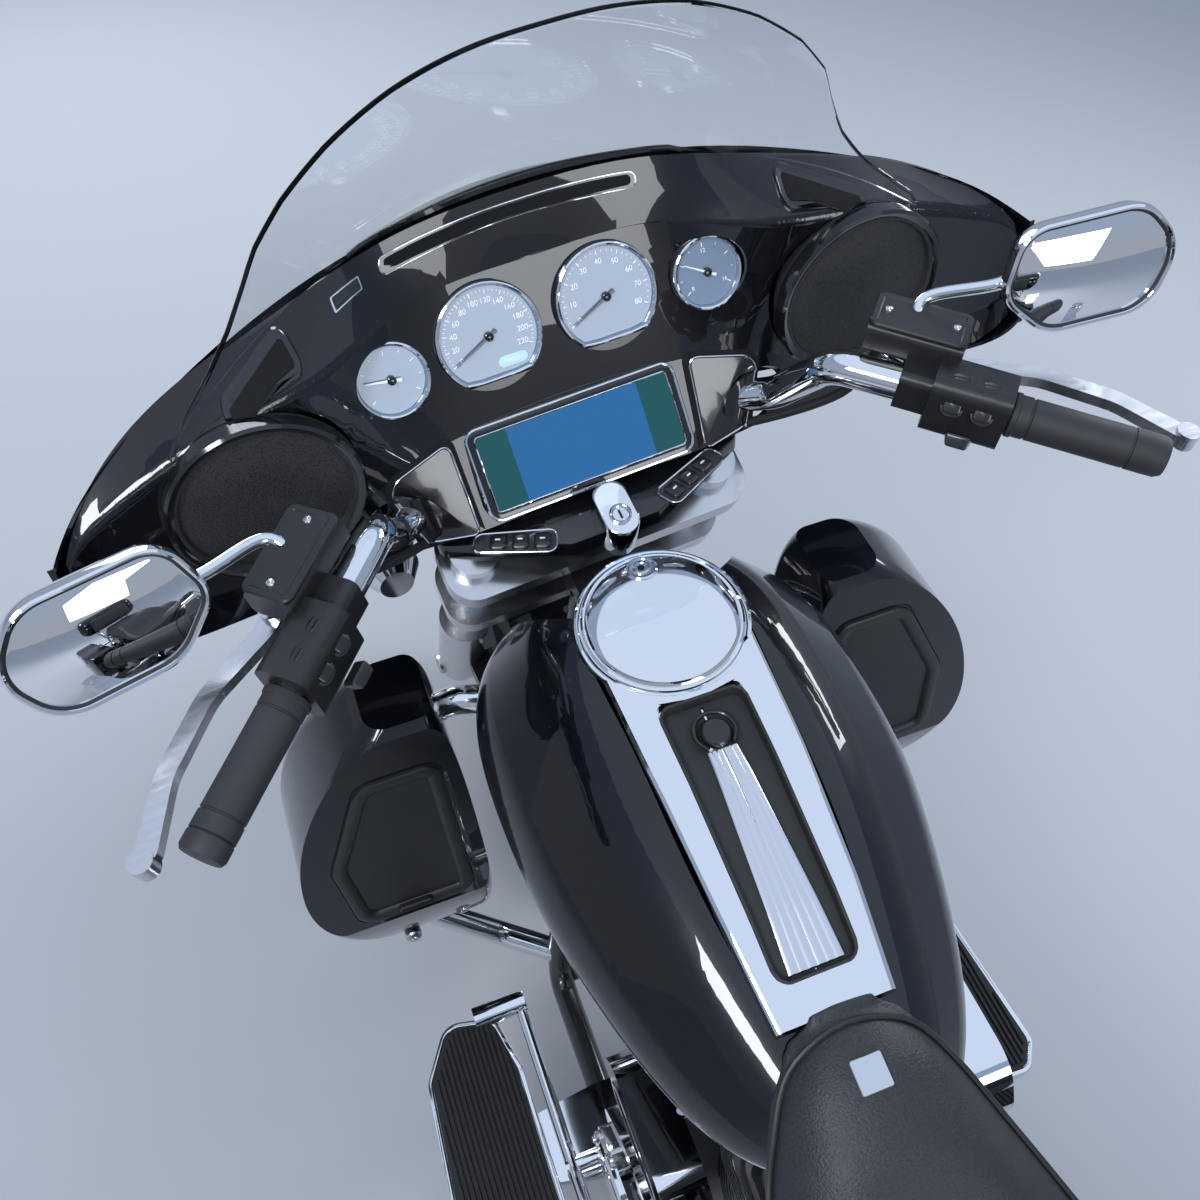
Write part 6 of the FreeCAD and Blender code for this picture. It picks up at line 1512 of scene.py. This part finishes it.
# Tail
# A round red lamp in a chromed shell on the fender, with amber signals on its bar.
bright_chrome.paint("tail_lamps")
TAIL_LAMPS = [((-300, 0, 530), (-1, 0, 0.25), 46, 12, "tail", lens_red),
              ((-330, 150, 470), (-1, 0, 0), 30, 6, "left", lens_amber),
              ((-330, -150, 470), (-1, 0, 0), 30, 6, "right", lens_amber)]
for centre, aim, r, rise, word, glass in TAIL_LAMPS:
    dome = [(0, rise - 4), (r, rise - 4), (r, rise + 8), (r * 0.92, rise + 14), (r * 0.6, rise + 19),
            (0, rise + 21)]
    put("tail_lens_" + word, turned(dome, centre, aim, 48), "root", glass, "tail_red")
    rim = [(r - 1, rise - 3), (r + 4, rise - 3), (r + 4, rise + 5), (r + 2, rise + 8), (r - 1, rise + 7),
           (r - 1, rise - 3)]
    put("tail_rim_" + word, turned(rim, centre, aim, 48), "root", bright_chrome, "bright_chrome")


# Engine fittings
# Chromed pushrod tubes from the cam cover to the heads on the right, bands clamped round the
# mufflers, coil springs round the shocks and open pipe ends, each closed a little inside by a dark
# disc that is partly soot and partly painted shade of the pipe's inside.
tube_mesh = []
for x0, x1, z1 in ((792, 732, 590), (812, 760, 604), (836, 884, 604), (856, 912, 590)):
    low, high = Vector((x0, -104, 404)), Vector((x1, -92, z1))
    line = high - low
    tube_mesh.append(rope([low, low + line * 0.3, low + line * 0.7, high], 8, 14, 1))
    tube_mesh.append(turned([(0, 0), (11, 0), (11, 16), (8, 18), (0, 18)], low, line, 24))
    tube_mesh.append(turned([(0, 0), (10.4, 0), (10.4, 12), (8, 14), (0, 14)], low + line * 0.48, line, 24))
put("pushrod_tubes", merged(tube_mesh), "root", bright_chrome, "bright_chrome")
MUFFLER_OUT, MUFFLER_UP = 262, 238
ring_mesh = []
for side, word in SIDES:
    for x, r in ((330, 47.2), (60, 47.2), (-250, 46.5)):
        ring_line = [(r - 1.4, -9), (r, -9), (r + 1.2, -7), (r + 1.2, 7), (r, 9), (r - 1.4, 9),
                     (r - 1.4, -9)]
        ring_mesh.append(turned(ring_line, (x, side * MUFFLER_OUT, MUFFLER_UP), AHEAD, 48))
put("muffler_bands", merged(ring_mesh), "root", pipe_chrome, "bright_chrome")
# Dark matt finish of the disc inside each pipe end: partly real soot, partly painted shade of the pipe's
# inside.
soot_and_painted_shade = Finish("pipe soot", Base_Color=(0.012, 0.011, 0.01), Roughness=0.85)
PIPE_TIP = [(0, -14), (30, -14), (31, 0), (38.6, 0), (40, -5), (41.4, -5), (41, 3), (38.4, 5), (34, 5),
            (33, -12), (0, -12.5)]
PIPE_MOUTH = [(0, -2), (33, -2), (33, 0.8), (0, 0.9)]
COIL_TURNS, COIL_STEPS, COIL_R = 9, 16, 23.5
COIL_START, COIL_LONG = 82, 196
for side, word in SIDES:
    pipe_end = (-450, side * MUFFLER_OUT, MUFFLER_UP)
    put("muffler_tip_" + word, turned(PIPE_TIP, pipe_end, REARWARD, 56), "root", pipe_chrome,
        "bright_chrome")
    put("muffler_mouth_" + word, turned(PIPE_MOUTH, pipe_end, REARWARD, 40), "root", soot_and_painted_shade, "bright_chrome")
    shock_low, shock_top = Vector((96, side * 188, 322)), Vector((214, side * 188, 640))
    shock_line = (shock_top - shock_low).normalized()
    shock_front = shock_line.cross(LEFT)
    coil = []
    for k in range(COIL_STEPS * COIL_TURNS + 1):
        turn = math.tau * k / COIL_STEPS
        coil.append(shock_low + shock_line * (COIL_START + COIL_LONG * k / (COIL_STEPS * COIL_TURNS))
                    + LEFT * math.cos(turn) * COIL_R + shock_front * math.sin(turn) * COIL_R)
    put("shock_spring_" + word, rope(coil, 3.4, 8, 1), "root", bright_chrome, "bright_chrome")


# The room
# A plain pale floor under soft studio lamps, and the camera where the rider's eyes are,
# looking down over the bars.
floor_finish = Finish("floor", Base_Color=(0.4, 0.41, 0.43), Roughness=0.85)
floor_mesh = bpy.data.meshes.new("floor")
floor_mesh.from_pydata([(-60, -60, 0), (60, -60, 0), (60, 60, 0), (-60, 60, 0)], [], [(0, 1, 2, 3)])
floor_mesh.materials.append(floor_finish.material)
floor = bpy.data.objects.new("floor", floor_mesh)
add(floor)

world = bpy.data.worlds.new("studio")
bpy.context.scene.world = world
world.use_nodes = True
sky = world.node_tree.nodes
link = world.node_tree.links.new
direction = sky.new("ShaderNodeTexCoord")
height = sky.new("ShaderNodeSeparateXYZ")
shades = sky.new("ShaderNodeValToRGB")
shades.color_ramp.elements[0].position = 0.0
shades.color_ramp.elements[0].color = (0.4, 0.43, 0.48, 1)
shades.color_ramp.elements[1].position = 0.9
shades.color_ramp.elements[1].color = (0.3, 0.44, 0.68, 1)
link(direction.outputs["Generated"], height.inputs["Vector"])
link(height.outputs["Z"], shades.inputs["Fac"])
link(shades.outputs["Color"], sky["Background"].inputs["Color"])
sky["Background"].inputs["Strength"].default_value = 0.9

for name, spot, aim, size, power in (
        ("key", (-1.6, 2.6, 3.6), (0, 0, 0.7), (1.5, 1.0), 105),
        ("fill", (1.8, -3.2, 2.8), (0.3, 0, 0.7), (1.6, 1.0), 62),
        ("front", (4.0, 0.6, 2.2), (0.6, 0, 0.8), (1.6, 2.2), 60),
        ("back", (-3.6, -0.8, 2.0), (-0.4, 0, 0.7), (1.8, 1.4), 45)):
    lamp = bpy.data.lights.new(name, "AREA")
    lamp.shape = "RECTANGLE"
    lamp.size, lamp.size_y = size
    lamp.energy = power
    lamp.color = (0.93, 0.96, 1.0)
    holder = bpy.data.objects.new(name, lamp)
    holder.location = spot
    holder.rotation_euler = (Vector(aim) - Vector(spot)).to_track_quat("-Z", "Y").to_euler()
    add(holder)

daylight = bpy.data.lights.new("daylight", "SUN")
daylight.energy = 0.7
daylight.angle = math.radians(90)
daylight_holder = bpy.data.objects.new("daylight", daylight)
add(daylight_holder)

EYE = (525.7, 232.7, 1758.6)
YAW, PITCH, ROLL = -0.2957, 0.8926, -0.0751
FOCAL = 1190.4 / 1200 * 36
ahead = Vector((math.cos(YAW) * math.cos(PITCH), math.sin(YAW) * math.cos(PITCH), -math.sin(PITCH)))
level = Vector((math.sin(YAW), -math.cos(YAW), 0))
above = level.cross(ahead)
right = level * math.cos(ROLL) + above * math.sin(ROLL)
upward = above * math.cos(ROLL) - level * math.sin(ROLL)
view = Matrix((right, upward, -ahead)).transposed().to_4x4()
lens = bpy.data.cameras.new("rider's eye")
lens.lens = FOCAL
lens.sensor_width = 36
lens.clip_start = 0.05
camera = bpy.data.objects.new("camera", lens)
camera.matrix_world = Matrix.Translation(parked @ Vector(EYE)) @ leaned @ view
add(camera)
bpy.context.scene.camera = camera
bpy.context.scene.view_settings.view_transform = "Standard"
